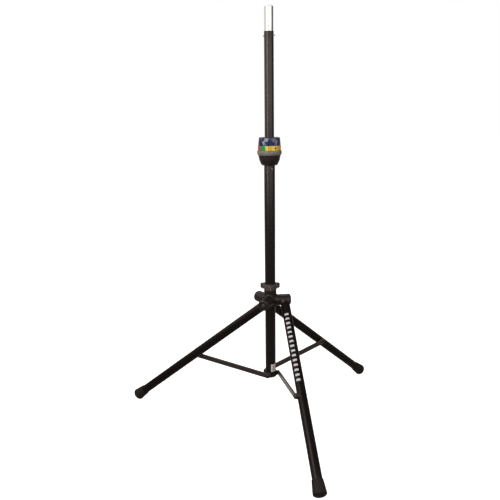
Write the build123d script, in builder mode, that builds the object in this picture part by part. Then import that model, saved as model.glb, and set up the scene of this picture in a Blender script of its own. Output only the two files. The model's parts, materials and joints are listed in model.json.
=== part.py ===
from build123d import *
from math import asin, cos, degrees, radians, sin, sqrt
import os

# Speaker tripod stand: a two-piece telescoping mast on three folding legs.
# Millimetres, +Z up, floor at Z = 0, origin at the middle of the footprint's box.
# The legs stand at -90 (front), 30 (right) and 150 degrees (left) about the mast.
# Each leg works in an upright plane that passes beside the mast, so that the
# folded legs lie along it. "Across" is the direction from the mast to that plane.

os.makedirs("parts", exist_ok=True)

# ---- stock and fits -------------------------------------------------------
SLIDE_TUBE_R = 38.1 / 2       # 1 1/2 inch tube: sliding mast and legs
MAST_TUBE_R = 44.45 / 2       # 1 3/4 inch tube: fixed mast
TUBE_WALL = 2.0
SPIGOT_R = 35.0 / 2           # fits the usual 35 mm speaker socket
RUNNING = 0.08                # radial play of a pair that slides or turns
SEATED = 0.05                 # radial gap of pieces fixed together
FACE_GAP = 0.4                # gap between flat faces that turn past each other

# ---- legs and braces ------------------------------------------------------
HEADINGS = {"front": -90.0, "right": 30.0, "left": 150.0}
LEG_OFFSET = 61.8             # mast axis to a leg's upright plane
LEG_SLOPE = 38.45             # degrees below level
LEG_LENGTH = 835.5            # pivot to the end of the foot cap
PIVOT_Z = 533.0               # leg pivots
BRACE_OFFSET = 34.8           # mast axis to the middle of a brace bar
BRACE_Z = 199.4               # brace pivots at the foot of the mast
BRACE_ON_LEG = 452.0          # leg pivot to brace pivot, along the leg
BRACE_THICK = 6.0
BRACE_END_R = 11.0

# ---- heights on the mast --------------------------------------------------
MAST_BOTTOM = 185.8
LOWER_TUBE_BOTTOM = MAST_BOTTOM + 5.0
LOWER_TUBE_TOP = 1135.0
CONE_BOTTOM = 1107.5
CONE_TOP = 1148.9
GRIP_TOP = 1168.2
BAND_TOP = 1186.7
COLLAR_TOP = 1220.3
UPPER_TUBE_BOTTOM = 614.0
UPPER_TUBE_TOP = 1628.9
SPIGOT_TOP = 1723.1
STOP_PIN_Z = 1612.5
ADAPTER_PIN_Z = 1524.9
STOP_RIVET_Z = 1092.9
LABEL_Z = (214.0, 248.0)

# ---- foot caps, and the footprint that they set ---------------------------
CAP_R = 26.0
CAP_TOP_R = 21.5
CAP_LENGTH = 61.0
CAP_WALL_END = 14.0
DOME_DEPTH = 12.0

leg_cos = cos(radians(LEG_SLOPE))
leg_sin = sin(radians(LEG_SLOPE))
dome_out = (LEG_LENGTH - DOME_DEPTH) * leg_cos


def dome_reach(cosine):
    """How far the domed foot reaches past its centre, in a level direction
    whose angle to the leg's heading has this cosine."""
    along = leg_cos * cosine
    return sqrt((DOME_DEPTH * along) ** 2 + CAP_R**2 * (1 - along**2))


front_reach = dome_out + dome_reach(1.0)
back_reach = dome_out * sin(radians(30)) + LEG_OFFSET * cos(radians(30)) + dome_reach(sin(radians(30)))
MAST_X = LEG_OFFSET * sin(radians(30))
MAST_Y = (front_reach - back_reach) / 2
MAST_AXIS = Axis((MAST_X, MAST_Y, 0), (0, 0, 1))
UP = Vector(0, 0, 1)


def toward(heading):
    """Level unit vector at a heading in degrees."""
    return Vector(cos(radians(heading)), sin(radians(heading)), 0)


def level(height):
    """Level plane centred on the mast's axis."""
    return Plane(origin=(MAST_X, MAST_Y, height))


def facing(heading, height, out=0.0):
    """Upright plane that faces a heading, out from the mast's axis. Its X is up."""
    origin = Vector(MAST_X, MAST_Y, height) + toward(heading) * out
    return Plane(origin=origin, x_dir=UP, z_dir=toward(heading))


def across(heading, height, out=0.0):
    """Side plane of the leg at a heading. X is up and Y is outward along the leg."""
    return facing(heading + 90, height, out)


def profile(heading=-90.0):
    """Upright plane through the mast's axis. X is outward and Y is up."""
    return Plane(origin=(MAST_X, MAST_Y, 0), x_dir=toward(heading), z_dir=toward(heading - 90))


def leg_direction(heading):
    return toward(heading) * leg_cos - UP * leg_sin


def leg_point(heading, along):
    """Point on a leg's centre line, measured from its pivot."""
    start = Vector(MAST_X, MAST_Y, PIVOT_Z) + toward(heading + 90) * LEG_OFFSET
    return start + leg_direction(heading) * along


def leg_section(heading, along):
    """Plane square to a leg. Its X is across."""
    return Plane(origin=leg_point(heading, along), x_dir=toward(heading + 90), z_dir=leg_direction(heading))


def outermost(builder, radius, height):
    """The three circular edges of this radius that lie furthest from the mast's axis."""
    rims = builder.edges().filter_by(GeomType.CIRCLE).filter_by(lambda e: abs(e.radius - radius) < 0.01)
    middle = Vector(MAST_X, MAST_Y, height)
    return rims.sort_by(lambda e: (e.arc_center - middle).length)[-3:]


def write(piece, name):
    piece.label = name
    export_step(piece, f"parts/{name}.step")


# ===========================================================================
# Fixed mast: the lower tube and everything that is fastened to it
# ===========================================================================
BORE_R = MAST_TUBE_R - TUBE_WALL

# Lower tube: straight round tube, open at both ends
with BuildPart() as lower_tube:
    with BuildSketch(level(LOWER_TUBE_BOTTOM)):
        Circle(MAST_TUBE_R)
        Circle(BORE_R, mode=Mode.SUBTRACT)
    extrude(amount=LOWER_TUBE_TOP - LOWER_TUBE_BOTTOM)
write(lower_tube.part, "lower_tube")

# Base hub: a cup on the tube's foot with three stubs that carry the braces
HUB_CUP_R = 25.2
HUB_CUP_TOP = 211.0
HUB_STUB_R = 9.5
BRACE_PIN_R = 4.0
brace_inner = BRACE_OFFSET - BRACE_THICK / 2
brace_outer = BRACE_OFFSET + BRACE_THICK / 2
stub_end = brace_inner - FACE_GAP
with BuildPart() as base_hub:
    with BuildSketch(level(MAST_BOTTOM)):
        Circle(HUB_CUP_R)
    extrude(amount=HUB_CUP_TOP - MAST_BOTTOM)
    fillet(base_hub.edges().group_by(Axis.Z)[0], radius=6.0)
    fillet(base_hub.edges().group_by(Axis.Z)[-1], radius=1.2)
    for heading in HEADINGS.values():
        with BuildSketch(across(heading, BRACE_Z)):
            Circle(HUB_STUB_R)
        extrude(amount=stub_end)
    with BuildSketch(level(LOWER_TUBE_BOTTOM)):
        Circle(MAST_TUBE_R + SEATED)
    extrude(amount=HUB_CUP_TOP, mode=Mode.SUBTRACT)
    for heading in HEADINGS.values():
        with BuildSketch(across(heading, BRACE_Z, MAST_TUBE_R)):
            Circle(BRACE_PIN_R + SEATED)
        extrude(amount=stub_end, mode=Mode.SUBTRACT)
write(base_hub.part, "base_hub")

# Brace pins at the base hub: shouldered rivets with domed heads
PIN_HEAD_R = 7.5
PIN_HEAD_HEIGHT = 3.0
with BuildPart() as base_pins:
    for heading in HEADINGS.values():
        with BuildSketch(across(heading, BRACE_Z, MAST_TUBE_R + 0.4)):
            Circle(BRACE_PIN_R)
        extrude(amount=brace_outer + FACE_GAP - MAST_TUBE_R)
        with BuildSketch(across(heading, BRACE_Z, brace_outer + FACE_GAP)):
            Circle(PIN_HEAD_R)
        extrude(amount=PIN_HEAD_HEIGHT)
    fillet(outermost(base_pins, PIN_HEAD_R, BRACE_Z), radius=2.4)
write(base_pins.part, "base_pins")

# Rating label: a blank sticker bent round the foot of the mast
LABEL_HEADING = -65.0
LABEL_HALF_ANGLE = 31.0
LABEL_THICK = 0.35
with BuildPart() as blank_label:
    with BuildSketch(level(LABEL_Z[0])):
        Circle(MAST_TUBE_R + LABEL_THICK)
        Circle(MAST_TUBE_R + 0.02, mode=Mode.SUBTRACT)
        with BuildLine():
            left = toward(LABEL_HEADING + LABEL_HALF_ANGLE) * 60
            right = toward(LABEL_HEADING - LABEL_HALF_ANGLE) * 60
            Polyline((0, 0), (left.X, left.Y), (right.X, right.Y), close=True)
        make_face(mode=Mode.INTERSECT)
    extrude(amount=LABEL_Z[1] - LABEL_Z[0])
write(blank_label.part, "blank_label")

# Stop rivet: keeps the sliding hub below the collar
with BuildPart() as stop_rivet:
    with BuildSketch(facing(-70.0, STOP_RIVET_Z, MAST_TUBE_R - 0.2)):
        Circle(3.4)
    extrude(amount=2.0)
    fillet(stop_rivet.edges().filter_by(GeomType.CIRCLE).sort_by(Axis(
        (MAST_X, MAST_Y, 0), toward(-70.0)))[-1], radius=1.5)
    with BuildSketch(level(STOP_RIVET_Z - 10)):
        Circle(MAST_TUBE_R + 0.02)
    extrude(amount=20, mode=Mode.SUBTRACT)
write(stop_rivet.part, "stop_rivet")

# Guide bush: plastic liner that centres the sliding tube in the lower tube
BUSH_LENGTH = 55.0
with BuildPart() as guide_bush:
    with BuildSketch(level(LOWER_TUBE_TOP - BUSH_LENGTH)):
        Circle(BORE_R - SEATED)
    extrude(amount=BUSH_LENGTH)
    with BuildSketch(level(LOWER_TUBE_TOP)):
        Circle(MAST_TUBE_R)
    extrude(amount=2.5)
    with BuildSketch(level(LOWER_TUBE_TOP - BUSH_LENGTH)):
        Circle(SLIDE_TUBE_R + RUNNING)
    extrude(amount=BUSH_LENGTH + 2.5, mode=Mode.SUBTRACT)
write(guide_bush.part, "guide_bush")

# Collar core: the fixed sleeve that the twist collar turns on
CORE_R = 30.0
CORE_FLANGE_R = 38.0
CORE_BOTTOM = 1114.0
CORE_TOP = 1150.0
with BuildPart() as collar_core:
    with BuildSketch(level(CORE_BOTTOM)):
        Circle(CORE_R - 4)
    extrude(amount=CORE_TOP - CORE_BOTTOM)
    with BuildSketch(level(1128.0)):
        Circle(CORE_R)
    extrude(amount=CORE_TOP - 1128.0)
    with BuildSketch(level(1140.0)):
        Circle(CORE_FLANGE_R)
    extrude(amount=6.0)
    with BuildSketch(level(CORE_BOTTOM)):
        Circle(MAST_TUBE_R + SEATED)
    extrude(amount=CORE_TOP - CORE_BOTTOM, mode=Mode.SUBTRACT)
write(collar_core.part, "collar_core")

# Clamp collet: split taper sleeve that grips the sliding tube when it is squeezed
COLLET_BOTTOM = CORE_TOP + 0.3
COLLET_TOP = 1192.0
COLLET_R = (29.0, 24.0)
COLLET_SLOT = 3.0
with BuildPart() as clamp_collet:
    with BuildSketch(profile()):
        with BuildLine():
            Polyline(
                (SLIDE_TUBE_R + RUNNING, COLLET_BOTTOM),
                (COLLET_R[0], COLLET_BOTTOM),
                (COLLET_R[0], COLLET_BOTTOM + 6),
                (COLLET_R[1], COLLET_TOP),
                (SLIDE_TUBE_R + RUNNING, COLLET_TOP),
                close=True,
            )
        make_face()
    revolve(axis=MAST_AXIS)
    for heading in (0.0, 60.0, 120.0):
        with BuildSketch(Plane(origin=(MAST_X, MAST_Y, COLLET_BOTTOM + 8), x_dir=toward(heading), z_dir=UP)):
            Rectangle(4 * COLLET_R[0], COLLET_SLOT)
        extrude(amount=COLLET_TOP, mode=Mode.SUBTRACT)
write(clamp_collet.part, "clamp_collet")

# ===========================================================================
# Sliding mast: the upper tube with its speaker spigot
# ===========================================================================
PIN_HEADING = -28.0
SLIDE_BORE_R = SLIDE_TUBE_R - TUBE_WALL
STOP_PIN_R = 3.0
STOP_PIN_OUT = 5.5
ADAPTER_PIN_R = 2.6
ADAPTER_PIN_OUT = -0.1        # flush, so that it passes the collar


def cross_hole(height, radius):
    """Drill square through the mast at the pins' heading."""
    with BuildSketch(facing(PIN_HEADING, height)) as hole:
        Circle(radius + SEATED)
    extrude(hole.sketch, amount=2 * SLIDE_TUBE_R, both=True, mode=Mode.SUBTRACT)


with BuildPart() as upper_tube:
    with BuildSketch(level(UPPER_TUBE_BOTTOM)):
        Circle(SLIDE_TUBE_R)
        Circle(SLIDE_BORE_R, mode=Mode.SUBTRACT)
    extrude(amount=UPPER_TUBE_TOP - UPPER_TUBE_BOTTOM)
    chamfer(upper_tube.edges().group_by(Axis.Z)[-1].sort_by(SortBy.RADIUS)[-1], length=0.8)
    cross_hole(STOP_PIN_Z, STOP_PIN_R)
    cross_hole(ADAPTER_PIN_Z, ADAPTER_PIN_R)
write(upper_tube.part, "upper_tube")

# Speaker spigot: turned aluminium, its shank seated in the tube, bored from below
SHANK_BOTTOM = 1506.0
SPIGOT_CHAMFER = 1.6
SPIGOT_BORE_R = 12.5
SPIGOT_CROWN = 8.0
with BuildPart() as speaker_spigot:
    with BuildSketch(level(SHANK_BOTTOM)):
        Circle(SLIDE_BORE_R - SEATED)
    extrude(amount=UPPER_TUBE_TOP - SHANK_BOTTOM)
    with BuildSketch(level(UPPER_TUBE_TOP)):
        Circle(SPIGOT_R)
    extrude(amount=SPIGOT_TOP - UPPER_TUBE_TOP)
    chamfer(speaker_spigot.edges().group_by(Axis.Z)[-1], length=SPIGOT_CHAMFER)
    with BuildSketch(level(SHANK_BOTTOM)):
        Circle(SPIGOT_BORE_R)
    extrude(amount=SPIGOT_TOP - SPIGOT_CROWN - SHANK_BOTTOM, mode=Mode.SUBTRACT)
    cross_hole(STOP_PIN_Z, STOP_PIN_R)
    cross_hole(ADAPTER_PIN_Z, ADAPTER_PIN_R)
write(speaker_spigot.part, "speaker_spigot")


def cross_pin(height, radius, proud, rounding):
    """Pin through the mast with rounded ends, standing out of the tube by the same on both sides."""
    with BuildPart() as pin:
        with BuildSketch(facing(PIN_HEADING, height)):
            Circle(radius)
        extrude(amount=SLIDE_TUBE_R + proud, both=True)
        fillet(pin.edges().filter_by(GeomType.CIRCLE), radius=rounding)
    return pin.part


write(cross_pin(STOP_PIN_Z, STOP_PIN_R, STOP_PIN_OUT, 0.8), "stop_pin")
write(cross_pin(ADAPTER_PIN_Z, ADAPTER_PIN_R, ADAPTER_PIN_OUT, 0.7), "adapter_pin")

# Lower glide: plastic shoe on the foot of the sliding tube
GLIDE_LENGTH = 18.0
with BuildPart() as lower_glide:
    with BuildSketch(level(UPPER_TUBE_BOTTOM - GLIDE_LENGTH)):
        Circle(BORE_R - RUNNING)
    extrude(amount=GLIDE_LENGTH)
    chamfer(lower_glide.edges().group_by(Axis.Z)[0], length=1.0)
    with BuildSketch(level(UPPER_TUBE_BOTTOM)):
        Circle(SLIDE_BORE_R - SEATED)
    extrude(amount=25.0)
    with BuildSketch(level(UPPER_TUBE_BOTTOM - GLIDE_LENGTH)):
        Circle(SLIDE_BORE_R - 4)
    extrude(amount=60.0, mode=Mode.SUBTRACT)
write(lower_glide.part, "lower_glide")

# ===========================================================================
# Twist collar: five shells and rings that turn together and squeeze the collet
# ===========================================================================
DRUM_R = 42.0

# Collar cap: gloss cup over the top, with a hole for the sliding tube
CAP_SHELL_R = 45.5
with BuildPart() as collar_cap:
    with BuildSketch(level(BAND_TOP)):
        Circle(CAP_SHELL_R)
    extrude(amount=COLLAR_TOP - BAND_TOP)
    fillet(collar_cap.edges().group_by(Axis.Z)[-1], radius=6.0)
    with BuildSketch(level(BAND_TOP)):
        Circle(DRUM_R + SEATED)
    extrude(amount=COLLAR_TOP - BAND_TOP - 4.0, mode=Mode.SUBTRACT)
    with BuildSketch(level(BAND_TOP)):
        Circle(SLIDE_TUBE_R + 0.6)
    extrude(amount=COLLAR_TOP, mode=Mode.SUBTRACT)
write(collar_cap.part, "collar_cap")

# Indicator band: printed ring between the cap and the grip
BAND_R = 46.75
with BuildPart() as indicator_band:
    with BuildSketch(level(GRIP_TOP)):
        Circle(BAND_R)
        Circle(DRUM_R + SEATED, mode=Mode.SUBTRACT)
    extrude(amount=BAND_TOP - GRIP_TOP)
    chamfer(indicator_band.edges().group_by(Axis.Z)[-1].sort_by(SortBy.RADIUS)[-1], length=0.5)
write(indicator_band.part, "indicator_band")

# Grip ring: fluted ring that the hand turns
GRIP_R = 50.5
FLUTES = 24
with BuildPart() as grip_ring:
    with BuildSketch(profile()):
        with BuildLine():
            Polyline((DRUM_R + SEATED, CONE_TOP), (46.4, CONE_TOP), (49.6, CONE_TOP + 6.2))
            Spline((49.6, CONE_TOP + 6.2), (GRIP_R, CONE_TOP + 10.0), (49.4, GRIP_TOP - 2.0))
            Polyline((49.4, GRIP_TOP - 2.0), (47.0, GRIP_TOP), (DRUM_R + SEATED, GRIP_TOP),
                     (DRUM_R + SEATED, CONE_TOP))
        make_face()
    revolve(axis=MAST_AXIS)
    with BuildSketch(level(CONE_TOP)):
        with PolarLocations(GRIP_R + 0.9, FLUTES):
            Circle(2.0)
    extrude(amount=GRIP_TOP - CONE_TOP, mode=Mode.SUBTRACT)
write(grip_ring.part, "grip_ring")

# Collar cone: matt shell that tapers down to the lower tube
CONE_R = (46.0, 30.0)
with BuildPart() as collar_cone:
    with BuildSketch(profile()):
        with BuildLine():
            Spline((CONE_R[0], CONE_TOP), (41.8, CONE_TOP - 19.0), (34.0, CONE_BOTTOM + 4.0),
                   tangents=((-0.12, -1), (-0.6, -1)))
            ThreePointArc((34.0, CONE_BOTTOM + 4.0), (31.6, CONE_BOTTOM + 1.2), (28.0, CONE_BOTTOM))
            Polyline((28.0, CONE_BOTTOM), (MAST_TUBE_R + 0.5, CONE_BOTTOM),
                     (MAST_TUBE_R + 0.5, CONE_BOTTOM + 4), (27.0, CONE_BOTTOM + 4), (38.5, CONE_TOP - 12.0),
                     (DRUM_R + SEATED, CONE_TOP - 12.0), (DRUM_R + SEATED, CONE_TOP), (CONE_R[0], CONE_TOP))
        make_face()
    revolve(axis=MAST_AXIS)
write(collar_cone.part, "collar_cone")

# Collar drum: inner sleeve that carries the shells and turns on the core's flange
with BuildPart() as collar_drum:
    with BuildSketch(level(CONE_TOP - 11.5)):
        Circle(DRUM_R)
        Circle(CORE_FLANGE_R + RUNNING, mode=Mode.SUBTRACT)
    extrude(amount=COLLAR_TOP - 4.5 - (CONE_TOP - 11.5))
write(collar_drum.part, "collar_drum")

# Cam ring: its taper presses the collet inward as the collar turns
CAM_BOTTOM = CORE_TOP + 6.0
CAM_TOP = 1196.0
taper = (COLLET_R[0] - COLLET_R[1]) / (COLLET_TOP - COLLET_BOTTOM - 6)
with BuildPart() as cam_ring:
    with BuildSketch(profile()):
        with BuildLine():
            Polyline(
                (COLLET_R[0] + FACE_GAP, CAM_BOTTOM),
                (CORE_FLANGE_R, CAM_BOTTOM),
                (CORE_FLANGE_R, CAM_TOP),
                (COLLET_R[0] + FACE_GAP - taper * (CAM_TOP - CAM_BOTTOM), CAM_TOP),
                close=True,
            )
        make_face()
    revolve(axis=MAST_AXIS)
write(cam_ring.part, "cam_ring")

# Thrust washer: bears under the core's flange and keeps the collar down on it
with BuildPart() as thrust_washer:
    with BuildSketch(level(1137.6)):
        Circle(CORE_FLANGE_R - 0.3)
        Circle(CORE_R + 0.3, mode=Mode.SUBTRACT)
    extrude(amount=2.0)
write(thrust_washer.part, "thrust_washer")

# ===========================================================================
# Sliding hub: carries the three leg pivots up and down the lower tube
# ===========================================================================
BARREL_R = 47.5 / 2
HUB_R = 26.3
HUB_BOTTOM = 506.5
HUB_TOP = 581.5
LINER_R = 23.8
LINER_TOP = 603.0
PIVOT_BOLT_R = 5.0
hub_stub_end = 38.0
knuckle_start = hub_stub_end + 1.6
knuckle_end = 88.0

with BuildPart() as sliding_hub:
    with BuildSketch(level(HUB_BOTTOM)):
        Circle(HUB_R)
    extrude(amount=HUB_TOP - HUB_BOTTOM)
    fillet(sliding_hub.edges().group_by(Axis.Z)[0], radius=1.5)
    for heading in HEADINGS.values():
        with BuildSketch(across(heading, PIVOT_Z)):
            Circle(BARREL_R)
        extrude(amount=hub_stub_end)
    with BuildSketch(level(HUB_BOTTOM)):
        Circle(LINER_R + SEATED)
    extrude(amount=HUB_TOP, mode=Mode.SUBTRACT)
    for heading in HEADINGS.values():
        with BuildSketch(across(heading, PIVOT_Z)):
            Circle(PIVOT_BOLT_R + SEATED)
        extrude(amount=hub_stub_end, mode=Mode.SUBTRACT)
write(sliding_hub.part, "sliding_hub")

# Hub liner: plastic sleeve that slides on the mast; its slit top is squeezed by the lock ring
with BuildPart() as hub_liner:
    with BuildSketch(level(HUB_BOTTOM)):
        Circle(LINER_R)
        Circle(MAST_TUBE_R + RUNNING, mode=Mode.SUBTRACT)
    extrude(amount=LINER_TOP - HUB_BOTTOM)
    for heading in (0.0, 90.0):
        with BuildSketch(Plane(origin=(MAST_X, MAST_Y, HUB_TOP + 4), x_dir=toward(heading), z_dir=UP)):
            Rectangle(3 * LINER_R, 2.0)
        extrude(amount=LINER_TOP, mode=Mode.SUBTRACT)
write(hub_liner.part, "hub_liner")

# Leg pivot bolts: button heads sunk in the knuckles' ends
BOLT_HEAD_R = 7.0
BOLT_HEAD_HEIGHT = 4.2
BOLT_SUNK = 3.4
with BuildPart() as pivot_bolts:
    for heading in HEADINGS.values():
        with BuildSketch(across(heading, PIVOT_Z, LINER_R + 0.6)):
            Circle(PIVOT_BOLT_R)
        extrude(amount=knuckle_end - BOLT_SUNK - LINER_R)
        with BuildSketch(across(heading, PIVOT_Z, knuckle_end - BOLT_SUNK)):
            Circle(BOLT_HEAD_R)
        extrude(amount=BOLT_HEAD_HEIGHT)
    fillet(outermost(pivot_bolts, BOLT_HEAD_R, PIVOT_Z), radius=2.6)
    for heading in HEADINGS.values():
        with BuildSketch(across(heading, PIVOT_Z, knuckle_end - BOLT_SUNK + BOLT_HEAD_HEIGHT)):
            RegularPolygon(radius=3.4, side_count=6)
        extrude(amount=-2.6, mode=Mode.SUBTRACT)
write(pivot_bolts.part, "pivot_bolts")

# Friction washers between the hub's stubs and the knuckles
with BuildPart() as pivot_washers:
    for heading in HEADINGS.values():
        with BuildSketch(across(heading, PIVOT_Z, hub_stub_end)):
            Circle(BARREL_R - 1.2)
            Circle(PIVOT_BOLT_R + SEATED, mode=Mode.SUBTRACT)
        extrude(amount=1.2)
write(pivot_washers.part, "pivot_washers")

# Lock ring: three-lobed hand ring that clamps the hub to the mast
LOCK_BOTTOM = HUB_TOP + 0.5
LOCK_TOP = 606.5
LOCK_R = 28.5
LOBE_R = 11.0
LOBE_CENTRE = 35.5
LOBE_HEADING = -98.0
SCREW_R = 3.2
with BuildPart() as lock_ring:
    with BuildSketch(level(LOCK_BOTTOM)):
        Circle(LOCK_R)
        with PolarLocations(LOBE_CENTRE / 2, 3, start_angle=LOBE_HEADING):
            SlotCenterToCenter(LOBE_CENTRE, 2 * LOBE_R)
    extrude(amount=LOCK_TOP - LOCK_BOTTOM)
    fillet(lock_ring.edges().group_by(Axis.Z)[-1], radius=6.0)
    fillet(lock_ring.edges().group_by(Axis.Z)[0], radius=4.0)
    with BuildSketch(level(LOCK_BOTTOM)):
        Circle(LINER_R + RUNNING)
    extrude(amount=LOCK_TOP, mode=Mode.SUBTRACT)
    with BuildSketch(facing(LOBE_HEADING, (LOCK_BOTTOM + LOCK_TOP) / 2, LOBE_CENTRE + LOBE_R - 3.0)):
        Circle(5.5)
    extrude(amount=10.0, mode=Mode.SUBTRACT)
    with BuildSketch(facing(LOBE_HEADING, (LOCK_BOTTOM + LOCK_TOP) / 2, LINER_R)):
        Circle(SCREW_R + SEATED)
    extrude(amount=LOBE_CENTRE, mode=Mode.SUBTRACT)
write(lock_ring.part, "lock_ring")

# Lock screw: socket set screw in the front lobe
with BuildPart() as lock_screw:
    with BuildSketch(facing(LOBE_HEADING, (LOCK_BOTTOM + LOCK_TOP) / 2, LINER_R + 1.2)):
        Circle(SCREW_R)
    extrude(amount=LOBE_CENTRE + LOBE_R - 1.8 - LINER_R)
    with BuildSketch(facing(LOBE_HEADING, (LOCK_BOTTOM + LOCK_TOP) / 2, LOBE_CENTRE + LOBE_R - 3.0)):
        RegularPolygon(radius=1.9, side_count=6)
    extrude(amount=10.0, mode=Mode.SUBTRACT)
write(lock_screw.part, "lock_screw")

# ===========================================================================
# Legs: knuckle, tube, foot cap, brace boss and rivet, three times
# ===========================================================================
TUBE_END = LEG_LENGTH - CAP_WALL_END
CAP_START = LEG_LENGTH - CAP_LENGTH
KNUCKLE_SPIGOT = 70.0
BOSS_R = 12.0
RIVET_ALONG = 50.0
RIVET_R = 2.4
RIVET_HEAD_R = 4.0


def knuckle(heading):
    """Cast barrel on the pivot bolt, with a spigot that fills the leg tube's end."""
    out = Axis((MAST_X, MAST_Y, PIVOT_Z), toward(heading + 90))
    with BuildPart() as piece:
        with BuildSketch(across(heading, PIVOT_Z, knuckle_start)):
            Circle(BARREL_R)
        extrude(amount=knuckle_end - knuckle_start)
        fillet(piece.edges().filter_by(GeomType.CIRCLE).sort_by(out)[-1], radius=8.0)
        with BuildSketch(leg_section(heading, 0)):
            Circle(SLIDE_BORE_R - SEATED)
        extrude(amount=KNUCKLE_SPIGOT)
        with BuildSketch(across(heading, PIVOT_Z, knuckle_start)):
            Circle(PIVOT_BOLT_R + RUNNING)
        extrude(amount=knuckle_end, mode=Mode.SUBTRACT)
        with BuildSketch(across(heading, PIVOT_Z, knuckle_end - BOLT_SUNK - FACE_GAP)):
            Circle(BOLT_HEAD_R + 1.0)
        extrude(amount=knuckle_end, mode=Mode.SUBTRACT)
        rivet_hole(heading, RIVET_R + SEATED)
    return piece.part


def rivet_hole(heading, radius):
    """Cross hole for the rivet that holds the tube on the knuckle's spigot."""
    centre = leg_point(heading, RIVET_ALONG)
    with BuildSketch(Plane(origin=centre, x_dir=UP, z_dir=toward(heading + 90) * -1)) as hole:
        Circle(radius)
    extrude(hole.sketch, amount=2 * SLIDE_TUBE_R, mode=Mode.SUBTRACT)


def leg_tube(heading):
    """Round tube, coped to sit against the knuckle's barrel."""
    with BuildPart() as piece:
        with BuildSketch(leg_section(heading, 0)):
            Circle(SLIDE_TUBE_R)
            Circle(SLIDE_BORE_R, mode=Mode.SUBTRACT)
        extrude(amount=TUBE_END - SEATED)
        with BuildSketch(across(heading, PIVOT_Z, knuckle_start - 10)):
            Circle(BARREL_R + SEATED)
        extrude(amount=knuckle_end, mode=Mode.SUBTRACT)
        rivet_hole(heading, RIVET_R + SEATED)
    return piece.part


def foot_cap(heading):
    """Rubber boot: tapered cup with a domed end, flat where it meets the floor."""
    origin = leg_point(heading, 0)
    lengthwise = Plane(origin=origin, x_dir=leg_direction(heading), z_dir=toward(heading + 90) * -1)
    dome = [(LEG_LENGTH - DOME_DEPTH + DOME_DEPTH * sin(radians(turn)), CAP_R * cos(radians(turn)))
            for turn in (0, 30, 60, 90)]
    with BuildPart() as piece:
        with BuildSketch(lengthwise):
            with BuildLine():
                Polyline((CAP_START, SLIDE_TUBE_R + SEATED), (CAP_START, CAP_TOP_R - 0.8),
                         (CAP_START + 0.8, CAP_TOP_R), (LEG_LENGTH - DOME_DEPTH, CAP_R))
                Spline(*dome, tangents=((1, 0), (0, -1)))
                Polyline((LEG_LENGTH, 0), (TUBE_END, 0), (TUBE_END, SLIDE_TUBE_R + SEATED),
                         (CAP_START, SLIDE_TUBE_R + SEATED))
            make_face()
        revolve(axis=Axis(origin, leg_direction(heading)))
        split(bisect_by=Plane.XY, keep=Keep.TOP)
    return piece.part


def brace_boss(heading):
    """Round saddle on the leg's inner side, which the brace swings against."""
    centre = leg_point(heading, BRACE_ON_LEG)
    height = centre.Z
    outward = BRACE_ON_LEG * leg_cos
    with BuildPart() as piece:
        with BuildSketch(across(heading, height, brace_outer + FACE_GAP)):
            with Locations((0, outward)):
                Circle(BOSS_R)
        extrude(amount=LEG_OFFSET - brace_outer - SLIDE_TUBE_R / 2)
        with BuildSketch(leg_section(heading, BRACE_ON_LEG - 40)):
            Circle(SLIDE_TUBE_R + 0.02)
        extrude(amount=80, mode=Mode.SUBTRACT)
    return piece.part


def tube_rivet(heading):
    """Blind rivet through the tube's inner side into the knuckle's spigot."""
    inward = toward(heading + 90) * -1
    centre = leg_point(heading, RIVET_ALONG)
    with BuildPart() as piece:
        with BuildSketch(Plane(origin=centre + inward * 6, x_dir=UP, z_dir=inward)):
            Circle(RIVET_R)
        extrude(amount=SLIDE_TUBE_R - 5.6)
        with BuildSketch(Plane(origin=centre + inward * (SLIDE_TUBE_R + 0.05), x_dir=UP, z_dir=inward)):
            Circle(RIVET_HEAD_R)
        extrude(amount=1.4)
        fillet(piece.edges().filter_by(GeomType.CIRCLE).sort_by(Axis(centre, inward))[-1], radius=1.1)
    return piece.part


# ===========================================================================
# Braces: flat bar and outer pin, three times
# ===========================================================================
brace_rise = PIVOT_Z - BRACE_ON_LEG * leg_sin - BRACE_Z
brace_run = BRACE_ON_LEG * leg_cos
brace_length = sqrt(brace_rise**2 + brace_run**2)
brace_tilt = degrees(asin(brace_rise / brace_length))


def brace_bar(heading):
    """Flat bar with round ends, bored for its pins."""
    with BuildPart() as piece:
        with BuildSketch(across(heading, BRACE_Z, brace_inner)):
            with Locations((brace_rise / 2, brace_run / 2)):
                SlotCenterToCenter(brace_length, 2 * BRACE_END_R, rotation=90 - brace_tilt)
            Circle(BRACE_PIN_R + RUNNING, mode=Mode.SUBTRACT)
            with Locations((brace_rise, brace_run)):
                Circle(BRACE_PIN_R + SEATED, mode=Mode.SUBTRACT)
        extrude(amount=BRACE_THICK)
        rims = piece.edges().filter_by(lambda e: e.length > 2 * BRACE_END_R)
        fillet(rims.filter_by(lambda e: not e.is_closed), radius=0.9)
    return piece.part


def brace_pin(heading):
    """Headed pin at the brace's outer end. It stops at the bar's outer face."""
    with BuildPart() as piece:
        with BuildSketch(across(heading, BRACE_Z, brace_inner - 0.05)):
            with Locations((brace_rise, brace_run)):
                Circle(PIN_HEAD_R)
        extrude(amount=-PIN_HEAD_HEIGHT)
        inner = Axis((MAST_X, MAST_Y, BRACE_Z), toward(heading + 90))
        fillet(piece.edges().filter_by(GeomType.CIRCLE).sort_by(inner)[0], radius=2.4)
        with BuildSketch(across(heading, BRACE_Z, brace_inner - 0.1)):
            with Locations((brace_rise, brace_run)):
                Circle(BRACE_PIN_R)
        extrude(amount=BRACE_THICK + 0.05)
    return piece.part


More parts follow.
